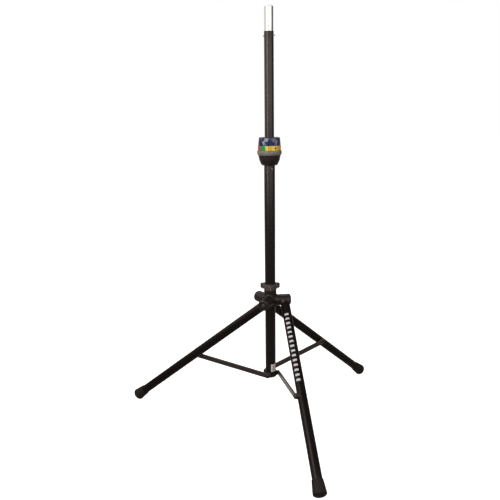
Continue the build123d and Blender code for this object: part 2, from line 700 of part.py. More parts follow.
for side, heading in HEADINGS.items():
    write(knuckle(heading), f"knuckle_{side}")
    write(leg_tube(heading), f"leg_tube_{side}")
    write(foot_cap(heading), f"foot_cap_{side}")
    write(brace_boss(heading), f"brace_boss_{side}")
    write(tube_rivet(heading), f"tube_rivet_{side}")
    write(brace_bar(heading), f"brace_bar_{side}")
    write(brace_pin(heading), f"brace_pin_{side}")
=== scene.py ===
import json
from math import cos, pi, radians, sin, tan

import bpy
import numpy as np
from mathutils import Matrix, Vector


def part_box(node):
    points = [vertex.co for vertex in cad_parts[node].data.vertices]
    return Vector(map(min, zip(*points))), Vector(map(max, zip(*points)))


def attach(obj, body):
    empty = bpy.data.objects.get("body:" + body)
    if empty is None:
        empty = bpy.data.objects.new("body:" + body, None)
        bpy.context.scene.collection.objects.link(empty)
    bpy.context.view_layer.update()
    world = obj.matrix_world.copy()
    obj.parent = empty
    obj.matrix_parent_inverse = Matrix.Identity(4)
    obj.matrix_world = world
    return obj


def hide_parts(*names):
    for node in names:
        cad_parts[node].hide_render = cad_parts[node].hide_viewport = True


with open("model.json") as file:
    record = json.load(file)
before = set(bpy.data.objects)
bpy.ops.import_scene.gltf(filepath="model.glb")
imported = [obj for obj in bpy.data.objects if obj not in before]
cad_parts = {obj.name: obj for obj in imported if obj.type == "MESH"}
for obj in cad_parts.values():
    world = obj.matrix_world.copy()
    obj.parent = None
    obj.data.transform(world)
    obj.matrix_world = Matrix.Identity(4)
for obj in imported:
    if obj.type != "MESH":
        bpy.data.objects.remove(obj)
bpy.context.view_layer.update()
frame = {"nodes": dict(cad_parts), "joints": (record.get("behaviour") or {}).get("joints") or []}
joints = {joint["name"]: joint for joint in frame["joints"]}

# ---------------------------------------------------------------------------
# Camera: it stands in front of the stand, a little to the left of the front
# leg, as high as the collar, and looks down at the hub.
# ---------------------------------------------------------------------------
tube_low, tube_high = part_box("lower_tube")
MAST = np.array([(tube_low.x + tube_high.x) / 2, (tube_low.y + tube_high.y) / 2, 0.0])
FRONT = -97.7  # heading that faces the camera, in degrees
camera_data = bpy.data.cameras.new("camera")
camera_data.lens = 45.07
camera = bpy.data.objects.new("camera", camera_data)
bpy.context.scene.collection.objects.link(camera)
bpy.context.scene.camera = camera
camera.matrix_world = (
    Matrix.Translation((MAST[0] - 0.4298, MAST[1] - 2.5408, 1.3122))
    @ Matrix.Rotation(radians(-7.728), 4, "Z")
    @ Matrix.Rotation(radians(90 - 12.237), 4, "X")
    @ Matrix.Rotation(radians(-0.7207), 4, "Z")
)


# ---------------------------------------------------------------------------
# Studio: a lit white floor under a white room, and four soft boxes: a tall key
# at the front left, wide banks at the left and the front, and one high up
# behind. The room lights the stand less than it shows, as black flags do.
# ---------------------------------------------------------------------------
def linear(code):
    """sRGB hex, such as 20201e, as a linear RGBA colour."""
    srgb = np.array([int(code[k : k + 2], 16) / 255 for k in (0, 2, 4)])
    rgb = np.where(srgb <= 0.04045, srgb / 12.92, ((srgb + 0.055) / 1.055) ** 2.4)
    return (*rgb.tolist(), 1.0)


def wire(tree, node, links):
    """Joins a node's inputs to other nodes, by their first output if none is named."""
    for name, source in dict(links).items():
        tree.links.new(getattr(source, "outputs", [source])[0], node.inputs[name])


def add(tree, kind, links=(), values=(), **properties):
    """One shader node. links joins its inputs to other nodes, and values sets them."""
    node = tree.nodes.new("ShaderNode" + kind)
    for name, value in properties.items():
        setattr(node, name, value)
    for name, value in dict(values).items():
        node.inputs[name].default_value = value
    wire(tree, node, links)
    return node


def start(name, values):
    """New material with one Principled BSDF. Returns the material, its tree and its shader."""
    material = bpy.data.materials.new(name)
    material.use_nodes = True
    shader = material.node_tree.nodes["Principled BSDF"]
    for socket, value in values.items():
        shader.inputs[socket].default_value = value
    return material, material.node_tree, shader


def soft_box(name, place, target, width, height, radiance):
    """Area light that faces target. Its power is its radiance times pi times its area."""
    data = bpy.data.lights.new(name, "AREA")
    data.shape = "RECTANGLE"
    data.size, data.size_y = width, height
    data.energy = radiance * pi * width * height
    data.color = (1.0, 0.965, 0.94)
    light = bpy.data.objects.new(name, data)
    bpy.context.scene.collection.objects.link(light)
    light.location = place
    light.rotation_euler = (Vector(target) - Vector(place)).to_track_quat("-Z", "Y").to_euler()
    light.visible_camera = False


def around(azimuth, distance, height):
    """Point at an azimuth in degrees about the mast."""
    turn = radians(azimuth)
    return MAST + np.array([distance * cos(turn), distance * sin(turn), height])


FLOOR_HALF = 30.0
WARM_TINT = linear("fff0ea")
floor_mesh = bpy.data.meshes.new("floor")
floor_corners = [(x * FLOOR_HALF, y * FLOOR_HALF, 0) for x, y in ((-1, -1), (1, -1), (1, 1), (-1, 1))]
floor_mesh.from_pydata(floor_corners, [], [(0, 1, 2, 3)])
floor = bpy.data.objects.new("floor", floor_mesh)
bpy.context.scene.collection.objects.link(floor)
# A lit floor, as a light table is, so that it is white right out to the horizon.
floor_paint, _, _ = start("floor_paint", {"Base Color": linear("f4f4f2"), "Roughness": 0.8,
                                          "Emission Color": linear("ffffff"), "Emission Strength": 0.93})
floor_mesh.materials.append(floor_paint)
floor.visible_glossy = floor.visible_diffuse = floor.visible_shadow = False

world = bpy.data.worlds.new("room")
bpy.context.scene.world = world
world.use_nodes = True
room = world.node_tree
seen = add(room, "Background", values={"Color": linear("ffffff"), "Strength": 1.0})
direction = add(room, "SeparateXYZ", {0: add(room, "TexCoord").outputs["Generated"]})
# Below the horizon the room stands for the pale floor, which is brighter behind the stand than before it.
behind = add(room, "MapRange", {"Value": direction.outputs["Y"]},
             {"From Min": 0.1, "From Max": 0.7, "To Min": 0.17, "To Max": 0.38})
dimmed = add(room, "MapRange", {"Value": direction.outputs["Z"], "To Min": behind},
             {"From Min": -0.1, "From Max": 0.1, "To Max": 0.12})
lit = add(room, "Background", {"Strength": dimmed}, {"Color": linear("fff6f0")})
ray = add(room, "LightPath")
mixed = add(room, "MixShader", {0: ray.outputs["Is Camera Ray"], 1: lit, 2: seen})
wire(room, room.nodes["World Output"], {"Surface": mixed})

soft_box("key", around(-141, 2.3, 2.2), around(0, 0, 1.4), 1.25, 2.1, 4.6)
soft_box("left_bank", around(157, 2.6, 2.1), around(0, 0, 1.5), 4.6, 1.7, 0.8)
soft_box("front_bank", around(-69, 3.0, 2.2), around(0, 0, 1.5), 5.4, 1.9, 1.6)
soft_box("back_top", around(82, 2.3, 3.5), around(0, 0, 0.9), 3.2, 1.4, 2.4)
bpy.context.scene.view_settings.view_transform = "Standard"

# ---------------------------------------------------------------------------
# Lower tube: the fixed mast, a straight drawn aluminium tube, cut to length
# and deburred, then anodised black.
# ---------------------------------------------------------------------------
WALL = 0.002
UP = np.array([0.0, 0.0, 1.0])
UPRIGHT = (MAST, np.array([1.0, 0.0, 0.0]), np.array([0.0, 1.0, 0.0]), UP)


def outline(corners, closed=False, steps=6):
    """Profile through corners (x, y, radius). A corner with a radius becomes an arc that touches both
    of its sides: its centre lies on the bisector, radius over the sine of half the angle away."""
    points = []
    for k, (x, y, radius) in enumerate(corners):
        here = np.array([x, y])
        if radius == 0 or (not closed and k in (0, len(corners) - 1)):
            points.append(here)
            continue
        before = np.array(corners[k - 1][:2]) - here
        after = np.array(corners[(k + 1) % len(corners)][:2]) - here
        before /= np.linalg.norm(before)
        after /= np.linalg.norm(after)
        half = np.arccos(before @ after) / 2
        bisector = (before + after) / np.linalg.norm(before + after)
        centre = here + bisector * radius / sin(half)
        first = here + before * radius / tan(half) - centre
        side = np.array([-first[1], first[0]])
        side *= -np.sign(side @ before)
        turn = np.linspace(0, pi - 2 * half, steps + 1)
        points.extend(centre + np.outer(np.cos(turn), first) + np.outer(np.sin(turn), side))
    return np.array(points)


def solid(name, local, faces, place, sharp=35):
    """Closed piece from points in its own frame. place is (origin, x, y, z). The points as they stand in
    that frame are kept as the attribute "local", so that a pattern can run along the piece. The faces are
    flipped if the volume under them, a sixth of the sum of a . (b x c), comes out negative."""
    origin, *axes = place
    points = origin + local @ np.array(axes)
    mesh = bpy.data.meshes.new(name)
    mesh.from_pydata(points.tolist(), [], faces)
    mesh.calc_loop_triangles()
    triangles = np.empty(len(mesh.loop_triangles) * 3, np.int32)
    mesh.loop_triangles.foreach_get("vertices", triangles)
    a, b, c = (points - points.mean(axis=0))[triangles.reshape(-1, 3)].transpose(1, 0, 2)
    if np.sum(a * np.cross(b, c)) < 0:
        mesh.flip_normals()
    attribute = mesh.attributes.new("local", "FLOAT_VECTOR", "POINT")
    attribute.data.foreach_set("vector", local.astype(np.float32).ravel())
    mesh.shade_smooth()
    mesh.set_sharp_from_angle(angle=radians(sharp))
    piece = bpy.data.objects.new(name, mesh)
    bpy.context.scene.collection.objects.link(piece)
    return piece


def polar(radius, turn, height):
    """Points about z: (r cos a, r sin a, h)."""
    return np.stack(np.broadcast_arrays(radius * np.cos(turn), radius * np.sin(turn), height), axis=-1)


def shell(name, rings, place, wrap=False, sharp=35):
    """Skin over a grid of points, rings[i, j], closed round j. With wrap the last ring joins the first,
    and otherwise each end closes on the middle of its ring."""
    rows, cols = rings.shape[:2]
    points = rings.reshape(-1, 3)
    i, j = np.meshgrid(np.arange(rows if wrap else rows - 1), np.arange(cols), indexing="ij")
    up, on = (i + 1) % rows, (j + 1) % cols
    faces = np.stack([i * cols + j, i * cols + on, up * cols + on, up * cols + j], axis=-1)
    faces = faces.reshape(-1, 4).tolist()
    if not wrap:
        first = np.arange(cols)
        last = first + (rows - 1) * cols
        points = np.vstack([points, rings[0].mean(axis=0), rings[-1].mean(axis=0)])
        faces += np.stack([np.roll(first, -1), first, np.full(cols, rows * cols)], axis=-1).tolist()
        faces += np.stack([last, np.roll(last, -1), np.full(cols, rows * cols + 1)], axis=-1).tolist()
    return solid(name, points, faces, place, sharp)


def turned(name, profile, place, wrap=False, steps=96, sharp=35):
    """Surface of revolution: each profile point (r, h) goes round z."""
    turn = np.linspace(0, 2 * pi, steps, endpoint=False)
    return shell(name, polar(profile[:, :1], turn, profile[:, 1:]), place, wrap, sharp)


def tube_profile(radius, bottom, top, rim=0.0005):
    """Closed section of a tube's wall, with its four rims rounded."""
    inner = radius - WALL
    corners = [(radius, bottom, rim), (radius, top, rim), (inner, top, rim), (inner, bottom, rim)]
    return outline(corners, closed=True, steps=3)


def fit(piece, material, body, slot, *replaced):
    """Gives a piece its material and the body that it rides on, and hides the nodes it stands for. slot
    is not used.
    """
    piece.data.materials.append(material)
    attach(piece, body)
    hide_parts(*replaced)
    return piece


def black_anodised(name, scuff, gleam):
    """Black anodised aluminium: satin and near black, with the faint lengthwise lines of drawing, which
    part the highlight, and patches that hands have polished. scuff is how far use has marked it, and
    gleam is its specular level."""
    material, tree, shader = start(
        name, {"IOR": 1.52, "Specular IOR Level": gleam, "Specular Tint": WARM_TINT}
    )
    local = add(tree, "Attribute", attribute_name="local").outputs["Vector"]
    # Drawn lines are 0.1 mm apart; 1.4 mm here, so that they show. Patches are a hand wide.
    drawn = add(tree, "Mapping", {"Vector": local}, {"Scale": (1 / 0.0014, 1 / 0.0014, 1 / 0.35)})
    lines = add(tree, "TexNoise", {"Vector": drawn}, {"Scale": 1.0, "Detail": 3.0})
    patches = add(tree, "TexNoise", {"Vector": local},
                  {"Scale": 1 / 0.09, "Detail": 4.0, "Roughness": 0.6})
    grain = add(tree, "TexNoise", {"Vector": local}, {"Scale": 1 / 0.0009, "Detail": 2.0})
    long_marks = add(tree, "Mapping", {"Vector": local}, {"Scale": (1 / 0.0032, 1 / 0.0032, 1 / 0.16)})
    marks = add(tree, "TexNoise", {"Vector": long_marks}, {"Scale": 1.0, "Detail": 5.0, "Roughness": 0.7})
    worn = add(tree, "MapRange", {"Value": marks}, {"From Min": 0.6, "From Max": 0.78, "To Max": scuff})
    body = add(tree, "ValToRGB", {"Fac": patches})
    body.color_ramp.elements[0].position, body.color_ramp.elements[0].color = 0.3, linear("0c0908")
    body.color_ramp.elements[1].position, body.color_ramp.elements[1].color = 0.75, linear("15100f")
    colour = add(tree, "MixRGB", {"Fac": worn, "Color1": body}, {"Color2": linear("39322f")})
    gloss = add(tree, "MapRange", {"Value": patches},
                {"From Min": 0.3, "From Max": 0.7, "To Min": 0.24, "To Max": 0.34})
    rough = add(tree, "Math", {0: lines, 2: gloss}, {1: 0.08}, operation="MULTIPLY_ADD")
    height = add(tree, "Math", {0: grain, 2: lines}, {1: 0.5}, operation="MULTIPLY_ADD")
    bump = add(tree, "Bump", {"Height": height}, {"Strength": 0.18, "Distance": 0.0002})
    wire(tree, shader, {"Base Color": colour, "Roughness": rough, "Normal": bump})
    return material


MAST_R = (tube_high.x - tube_low.x) / 2
mast_anodised = black_anodised("black_anodised_mast", 0.25, 0.5)
lower_tube = turned("mast_lower_tube", tube_profile(MAST_R, tube_low.z, tube_high.z), UPRIGHT, wrap=True)
fit(lower_tube, mast_anodised, "mast", "black_tube", "lower_tube")

# ---------------------------------------------------------------------------
# Upper tube: the sliding mast, the same stock a size smaller. The collet has
# drawn long bright scuffs down it.
# ---------------------------------------------------------------------------
upper_low, upper_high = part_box("upper_tube")
SLIDE_R = (upper_high.x - upper_low.x) / 2
slide_anodised = black_anodised("black_anodised_slide", 0.5, 0.6)
upper_tube = turned("mast_upper_tube", tube_profile(SLIDE_R, upper_low.z, upper_high.z), UPRIGHT,
                    wrap=True)
fit(upper_tube, slide_anodised, "sliding_mast", "black_tube", "upper_tube")

# ---------------------------------------------------------------------------
# Speaker spigot: the 35 mm peg that a loudspeaker drops on. Aluminium bar,
# turned and chamfered, and left bright; sockets have scratched it lengthwise.
# ---------------------------------------------------------------------------
SPIGOT_R = 0.0175
SPIGOT_CHAMFER = 0.0016
_, spigot_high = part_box("speaker_spigot")

bright_aluminium, tree, shader = start(
    "bright_turned_aluminium", {"Metallic": 1.0, "Base Color": linear("e4e3e0")}
)
local = add(tree, "Attribute", attribute_name="local").outputs["Vector"]
# Lathe lines run round it, 0.15 mm apart on the real one and 0.9 mm here, so that they show.
lathe = add(tree, "Mapping", {"Vector": local}, {"Scale": (1 / 0.05, 1 / 0.05, 1 / 0.0009)})
rings = add(tree, "TexNoise", {"Vector": lathe}, {"Scale": 1.0, "Detail": 3.0})
rubbed = add(tree, "Mapping", {"Vector": local}, {"Scale": (1 / 0.0012, 1 / 0.0012, 1 / 0.05)})
scratches = add(tree, "TexNoise", {"Vector": rubbed}, {"Scale": 1.0, "Detail": 4.0})
worn = add(tree, "MapRange", {"Value": scratches},
           {"From Min": 0.45, "From Max": 0.75, "To Min": 0.26, "To Max": 0.32})
bump = add(tree, "Bump", {"Height": rings}, {"Strength": 0.06, "Distance": 0.0001})
wire(tree, shader, {"Roughness": worn, "Normal": bump})

spigot_corners = [
    (SPIGOT_R - 0.004, upper_high.z - 0.02, 0),
    (SPIGOT_R - 0.004, upper_high.z - 0.0005, 0),
    (SPIGOT_R, upper_high.z - 0.0005, 0),
    (SPIGOT_R, spigot_high.z - SPIGOT_CHAMFER, 0.0004),
    (SPIGOT_R - SPIGOT_CHAMFER, spigot_high.z, 0.0004),
    (0.0035, spigot_high.z, 0.0002),
    (0.0012, spigot_high.z - 0.002, 0),
]
spigot = turned("spigot_peg", outline(spigot_corners), UPRIGHT)
fit(spigot, bright_aluminium, "sliding_mast", "spigot_aluminium", "speaker_spigot")

# ---------------------------------------------------------------------------
# Cross pins and rivets of the mast: zinc-plated steel. The stop pin stands out
# on both sides and carries the loudspeaker; the adapter pin is flush.
# ---------------------------------------------------------------------------
PIN_HEADING = -28.0
STOP_PIN_R, STOP_PIN_OUT = 0.003, 0.0055
ADAPTER_PIN_R = 0.0026
RIVET_HEADING = -70.0


def radial(heading, height):
    """Frame at the mast's axis whose z points out along a heading."""
    turn = radians(heading)
    out = np.array([cos(turn), sin(turn), 0.0])
    return (MAST + UP * height, UP, np.cross(out, UP), out)


zinc, tree, shader = start("zinc_plated_steel", {"Metallic": 1.0, "Base Color": linear("b5b3ae")})
place = add(tree, "TexCoord").outputs["Object"]
# Plating has crystals of about 0.3 mm; they are drawn at 0.8 mm.
crystals = add(tree, "TexVoronoi", {"Vector": place}, {"Scale": 1 / 0.0008})
cloud = add(tree, "MapRange", {"Value": crystals.outputs["Distance"]}, {"To Min": 0.28, "To Max": 0.46})
wire(tree, shader, {"Roughness": cloud})

for name, node, radius, reach in (
    ("speaker_stop_pin", "stop_pin", STOP_PIN_R, SLIDE_R + STOP_PIN_OUT),
    ("flush_adapter_pin", "adapter_pin", ADAPTER_PIN_R, SLIDE_R - 0.00015),
):
    low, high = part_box(node)
    corners = [(0.0006, -reach, 0), (radius, -reach, 0.0008), (radius, reach, 0.0008), (0.0006, reach, 0)]
    pin = turned(name, outline(corners), radial(PIN_HEADING, (low.z + high.z) / 2), steps=32)
    fit(pin, zinc, "sliding_mast", "zinc_steel", node)

low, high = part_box("stop_rivet")
rivet_corners = [(0.0034, MAST_R - 0.001, 0), (0.0034, MAST_R + 0.0005, 0.0004),
                 (0.0022, MAST_R + 0.0018, 0.0012), (0.0006, MAST_R + 0.0018, 0)]
rivet = turned("hub_stop_rivet", outline(rivet_corners), radial(RIVET_HEADING, (low.z + high.z) / 2),
               steps=32)
fit(rivet, zinc, "mast", "zinc_steel", "stop_rivet")

# ---------------------------------------------------------------------------
# Collar cap: injection-moulded cup in glossy dark blue over the collar's top.
# Six finger dishes, each an upside-down triangle, are moulded into its side.
# ---------------------------------------------------------------------------
DISHES = 6
DISH_HEADING = FRONT + 31.0
DISH_DEPTH = 0.0026
CAP_FILLET = 0.006
cap_low, cap_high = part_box("collar_cap")
CAP_R = (cap_high.x - cap_low.x) / 2
cap_corners = [
    (CAP_R - 0.003, cap_low.z, 0.0002),
    (CAP_R, cap_low.z, 0.0004),
    (CAP_R, cap_high.z, CAP_FILLET),
    (SLIDE_R + 0.0006, cap_high.z, 0.0008),
    (SLIDE_R + 0.0006, cap_high.z - 0.004, 0.0002),
    (CAP_R - 0.003, cap_high.z - 0.004, 0.0002),
]


def cap_rings():
    """The cap's closed section turned about the mast. The wall has extra rings, and each sixth of a turn
    is parted into a dish and a web: the dish is half as wide as the angle w(h), which grows with height,
    and is pressed in by the depth times one less the square of its share of w."""
    corners = np.array(cap_corners)
    wall = np.linspace(corners[1, 1] + 0.001, cap_high.z - CAP_FILLET, 14)
    profile = outline(cap_corners, closed=True, steps=8)
    split = int(np.argmax((profile[:, 0] >= CAP_R - 1e-7) & (profile[:, 1] >= wall[-1] - 1e-6)))
    profile = np.vstack([profile[:split], np.stack([np.full(13, CAP_R), wall[:-1]], axis=-1),
                         profile[split:]])
    share = np.linspace(-1, 1, 25)[:-1]
    height = np.clip((profile[:, 1:] - cap_low.z - 0.003) / (cap_high.z - cap_low.z - 0.004), 0, 1)
    width = radians(180 / DISHES) * (0.12 + 0.84 * height)
    edge = 2 / 3
    inner = np.abs(share) <= edge
    angle = np.where(
        inner,
        share / edge * width,
        np.sign(share) * (width + (np.abs(share) - edge) / (1 - edge) * (pi / DISHES - width)),
    )
    pressed = np.where(inner, 1 - (share / edge) ** 2, 0) * np.sqrt(height)
    pressed = pressed * (profile[:, :1] > CAP_R - CAP_FILLET)
    over_edge = np.clip((profile[:, :1] - (CAP_R - CAP_FILLET)) / CAP_FILLET, 0, 1)
    radius = profile[:, :1] - DISH_DEPTH * pressed * over_edge
    turns = [angle + k * 2 * pi / DISHES + radians(DISH_HEADING) for k in range(DISHES)]
    turn = np.concatenate(turns, axis=1)
    return polar(np.tile(radius, (1, DISHES)), turn, profile[:, 1:])


# Gloss ABS: a clear skin over deep blue, of uneven polish and dulled in patches by handling.
blue_gloss, tree, shader = start(
    "gloss_blue_abs", {"IOR": 1.54, "Coat Weight": 0.6, "Coat Roughness": 0.06}
)
place = add(tree, "TexCoord").outputs["Object"]
smears = add(tree, "TexNoise", {"Vector": place}, {"Scale": 1 / 0.02, "Detail": 5.0, "Roughness": 0.65})
dulled = add(tree, "MapRange", {"Value": smears},
             {"From Min": 0.35, "From Max": 0.7, "To Min": 0.1, "To Max": 0.24})
tint = add(tree, "ValToRGB", {"Fac": smears})
tint.color_ramp.elements[0].position, tint.color_ramp.elements[0].color = 0.3, linear("0d1438")
tint.color_ramp.elements[1].position, tint.color_ramp.elements[1].color = 0.75, linear("232f66")
ripple = add(tree, "TexNoise", {"Vector": place}, {"Scale": 1 / 0.006, "Detail": 1.0})
bump = add(tree, "Bump", {"Height": ripple}, {"Strength": 0.12, "Distance": 0.0004})
wire(tree, shader, {"Base Color": tint, "Roughness": dulled, "Normal": bump})

cap = shell("collar_top_cup", cap_rings(), UPRIGHT, wrap=True, sharp=20)
fit(cap, blue_gloss, "twist_collar", "blue_gloss", "collar_cap")

# ---------------------------------------------------------------------------
# Indicator band: smooth plastic ring, printed red, green and yellow to show
# how tight the collar is. The scale is printed twice round. A black lozenge
# marks the middle of each yellow field.
# ---------------------------------------------------------------------------
BAND_START = FRONT - 90.0
band_low, band_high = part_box("indicator_band")
BAND_R = (band_high.x - band_low.x) / 2
BAND_INKS = (
    (0.0, "e2544a"),
    (0.02, "c8403c"),
    (0.215, "a8504a"),
    (0.245, "06a04c"),
    (0.36, "009a46"),
    (0.385, "b4dc5a"),
    (0.43, "ecea62"),
    (0.455, "e8ac1e"),
    (0.55, "edb928"),
    (0.6, "fbe27a"),
    (0.7, "f6d24e"),
    (0.8, "e8b022"),
    (1.0, "e6aa20"),
)
band_print, tree, shader = start("printed_band", {"IOR": 1.45})
place = add(tree, "TexCoord").outputs["Object"]
centred = add(tree, "Mapping", {"Vector": place}, {"Location": tuple(-MAST)})
round_mast = add(tree, "Mapping", {"Vector": centred}, {"Rotation": (0, 0, radians(-BAND_START - 180))})
turn = add(tree, "TexGradient", {"Vector": round_mast}, gradient_type="RADIAL")
twice = add(tree, "Math", {0: turn.outputs["Fac"]}, {1: 2.0}, operation="MULTIPLY")
half_turn = add(tree, "Math", {0: twice}, operation="FRACT")
inks = add(tree, "ValToRGB", {"Fac": half_turn})
ramp = inks.color_ramp
ramp.elements[0].color = linear(BAND_INKS[0][1])
ramp.elements[1].color = linear(BAND_INKS[-1][1])
for position, code in BAND_INKS[1:-1]:
    ramp.elements.new(position).color = linear(code)
# Rubbing has thinned the ink in specks of about a millimetre.
specks = add(tree, "TexNoise", {"Vector": place}, {"Scale": 1 / 0.0012, "Detail": 4.0})
thin = add(tree, "MapRange", {"Value": specks}, {"From Min": 0.6, "From Max": 0.8, "To Max": 0.3})
faded = add(tree, "MixRGB", {"Fac": thin, "Color1": inks}, {"Color2": linear("efe6c8")})
dull = add(tree, "MapRange", {"Value": specks}, {"To Min": 0.26, "To Max": 0.45})
wire(tree, shader, {"Base Color": faded, "Roughness": dull})

band_corners = [(BAND_R - 0.0045, band_low.z, 0.0002), (BAND_R, band_low.z, 0.0006),
                (BAND_R, band_high.z, 0.0006), (BAND_R - 0.0045, band_high.z, 0.0002)]
band = turned("colour_band", outline(band_corners, closed=True, steps=4), UPRIGHT, wrap=True, steps=128)
fit(band, band_print, "twist_collar", "band_print", "indicator_band")

MARK_HEADING = FRONT + 30.3
MARK_HALF = (0.0058, 0.0036)
INK = 0.00012
black_ink, _, _ = start("black_ink", {"Base Color": linear("17140f"), "Roughness": 0.4})


def patch(name, radius, turn, height, place, thickness):
    """Thin film bent round a cylinder about z, over a grid turn[i, j], height[i, j]: its inner skin lies
    on the cylinder, its outer skin a thickness further out, and the two are stitched round their edge."""
    inner = polar(radius, turn, height)
    outer = polar(radius + thickness, turn, height)
    rows, cols = height.shape
    count = rows * cols
    i, j = np.meshgrid(np.arange(rows - 1), np.arange(cols - 1), indexing="ij")
    quads = np.stack([i * cols + j, i * cols + j + 1, (i + 1) * cols + j + 1, (i + 1) * cols + j],
                     axis=-1)
    quads = quads.reshape(-1, 4)
    index = np.arange(count).reshape(rows, cols)
    rim = np.concatenate([index[0, :-1], index[:-1, -1], index[-1, :0:-1], index[:0:-1, 0]])
    on = np.roll(rim, -1)
    sides = np.stack([on, rim, rim + count, on + count], axis=-1)
    faces = np.vstack([quads[:, ::-1], quads + count, sides]).tolist()
    return solid(name, np.vstack([inner.reshape(-1, 3), outer.reshape(-1, 3)]), faces, place)


for k in range(2):
    v, u = np.meshgrid(np.linspace(-1, 1, 9), np.linspace(-1, 1, 9), indexing="ij")
    narrow = 1 - 0.97 * np.abs(v)
    turn = radians(MARK_HEADING + 180 * k) + u * narrow * MARK_HALF[0] / BAND_R
    height = (band_low.z + band_high.z) / 2 + v * MARK_HALF[1]
    mark = patch(f"band_mark_{k + 1}", BAND_R, turn, height, UPRIGHT, INK)
    mark.data.materials.append(black_ink)
    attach(mark, "twist_collar")

# ---------------------------------------------------------------------------
# Grip ring: moulded in warm grey, with flutes all round for the fingers. It
# swells in the middle, and grime mottles its tone all over.
# ---------------------------------------------------------------------------
FLUTES = 24
FLUTE_DEPTH = 0.0012
FLUTE_HALF = 0.22
grip_low, grip_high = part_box("grip_ring")
GRIP_R = 0.0505


def grip_rings():
    """Section turned about the mast. A flute takes out of the radius its depth times the square root of
    one less the square of how far across the flute the point is, and fades where the ring narrows. Every
    fourth flute is deeper."""
    corners = [
        (0.0425, grip_low.z, 0.0002),
        (0.0466, grip_low.z, 0.0006),
        (0.0498, grip_low.z + 0.006, 0.004),
        (GRIP_R, grip_low.z + 0.0105, 0.006),
        (0.0495, grip_high.z - 0.0022, 0.002),
        (0.0474, grip_high.z, 0.0006),
        (0.0425, grip_high.z, 0.0002),
    ]
    profile = outline(corners, closed=True, steps=5)
    turn = np.linspace(0, 2 * pi, FLUTES * 16, endpoint=False)
    phase = (turn * FLUTES / (2 * pi)) % 1 - 0.5
    bell = np.sqrt(np.clip(1 - (phase / FLUTE_HALF) ** 2, 0, 1))
    every_fourth = 1 + 0.7 * (np.floor(turn * FLUTES / (2 * pi)) % 4 == 0)
    fade = np.clip((profile[:, :1] - 0.0455) / 0.002, 0, 1)
    radius = profile[:, :1] - FLUTE_DEPTH * bell * every_fourth * fade
    turn = turn + radians(FRONT - 15 + 7.5)
    return polar(radius, turn, profile[:, 1:])


# Filled nylon: matt with a spark-eroded grain of 0.5 mm, drawn at 0.9 mm.
grey_nylon, tree, shader = start("grey_filled_nylon", {"IOR": 1.53})
place = add(tree, "TexCoord").outputs["Object"]
grain = add(tree, "TexNoise", {"Vector": place}, {"Scale": 1 / 0.0009, "Detail": 3.0})
grime = add(tree, "TexNoise", {"Vector": place}, {"Scale": 1 / 0.012, "Detail": 5.0, "Roughness": 0.7})
tone = add(tree, "ValToRGB", {"Fac": grime})
tone.color_ramp.elements[0].position, tone.color_ramp.elements[0].color = 0.32, linear("6f6763")
tone.color_ramp.elements[1].position, tone.color_ramp.elements[1].color = 0.66, linear("958c86")
rough = add(tree, "MapRange", {"Value": grain}, {"To Min": 0.5, "To Max": 0.68})
bump = add(tree, "Bump", {"Height": grain}, {"Strength": 0.25, "Distance": 0.0002})
wire(tree, shader, {"Base Color": tone, "Roughness": rough, "Normal": bump})

grip = shell("fluted_grip", grip_rings(), UPRIGHT, wrap=True, sharp=30)
fit(grip, grey_nylon, "twist_collar", "grey_plastic", "grip_ring")

# ---------------------------------------------------------------------------
# Collar cone: matt black nylon shell that tapers from the grip down to the
# lower tube, moulded with a thin step under the grip.
# ---------------------------------------------------------------------------
cone_low, cone_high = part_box("collar_cone")
cone_corners = [
    (0.0425, cone_high.z, 0.0002),
    (0.0457, cone_high.z, 0.0004),
    (0.0452, cone_high.z - 0.003, 0.0004),
    (0.0446, cone_high.z - 0.0034, 0.0003),
    (0.0418, cone_high.z - 0.0195, 0.03),
    (0.0338, cone_low.z + 0.0035, 0.004),
    (0.0285, cone_low.z, 0.002),
    (MAST_R + 0.0006, cone_low.z, 0.0005),
    (MAST_R + 0.0006, cone_low.z + 0.004, 0.0004),
    (0.0425, cone_high.z - 0.012, 0.0004),
]


def black_nylon(name, code, grain_size, roughness):
    """Matt black nylon: a dull sheen broken by the mould's grain, and a little lighter where rubbed."""
    material, tree, shader = start(name, {"IOR": 1.53, "Specular Tint": WARM_TINT})
    place = add(tree, "TexCoord").outputs["Object"]
    grain = add(tree, "TexNoise", {"Vector": place}, {"Scale": 1 / grain_size, "Detail": 3.0})
    rub = add(tree, "TexNoise", {"Vector": place}, {"Scale": 1 / 0.03, "Detail": 4.0, "Roughness": 0.6})
    amount = add(tree, "MapRange", {"Value": rub}, {"From Min": 0.4, "From Max": 0.8, "To Max": 0.3})
    tone = add(tree, "MixRGB", {"Fac": amount}, {"Color1": linear(code), "Color2": linear("3a3432")})
    rough = add(tree, "MapRange", {"Value": rub},
                {"To Min": roughness + 0.08, "To Max": roughness - 0.08})
    bump = add(tree, "Bump", {"Height": grain}, {"Strength": 0.3, "Distance": 0.0002})
    wire(tree, shader, {"Base Color": tone, "Roughness": rough, "Normal": bump})
    return material


cone_nylon = black_nylon("black_nylon_cone", "121011", 0.0009, 0.5)
cone = turned("collar_skirt", outline(cone_corners, closed=True), UPRIGHT, wrap=True, steps=128, sharp=30)
fit(cone, cone_nylon, "twist_collar", "black_plastic", "collar_cone")

# ---------------------------------------------------------------------------
# Sliding hub: pressure-cast aluminium, with three barrels for the leg pivots
# melted into one sleeve by generous fillets, then powder-coated satin black.
# ---------------------------------------------------------------------------
BARREL_R = 0.02375
hub_low, hub_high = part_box("sliding_hub")
PIVOT_Z = joints["leg_front_fold"]["pos_m"][2]
SIDES = ("front", "right", "left")
ACROSS = {side: np.array(joints[f"leg_{side}_fold"]["axis"]) for side in SIDES}
HUB_R, HUB_BORE_R = 0.0263, 0.02385
STUB_END = 0.038


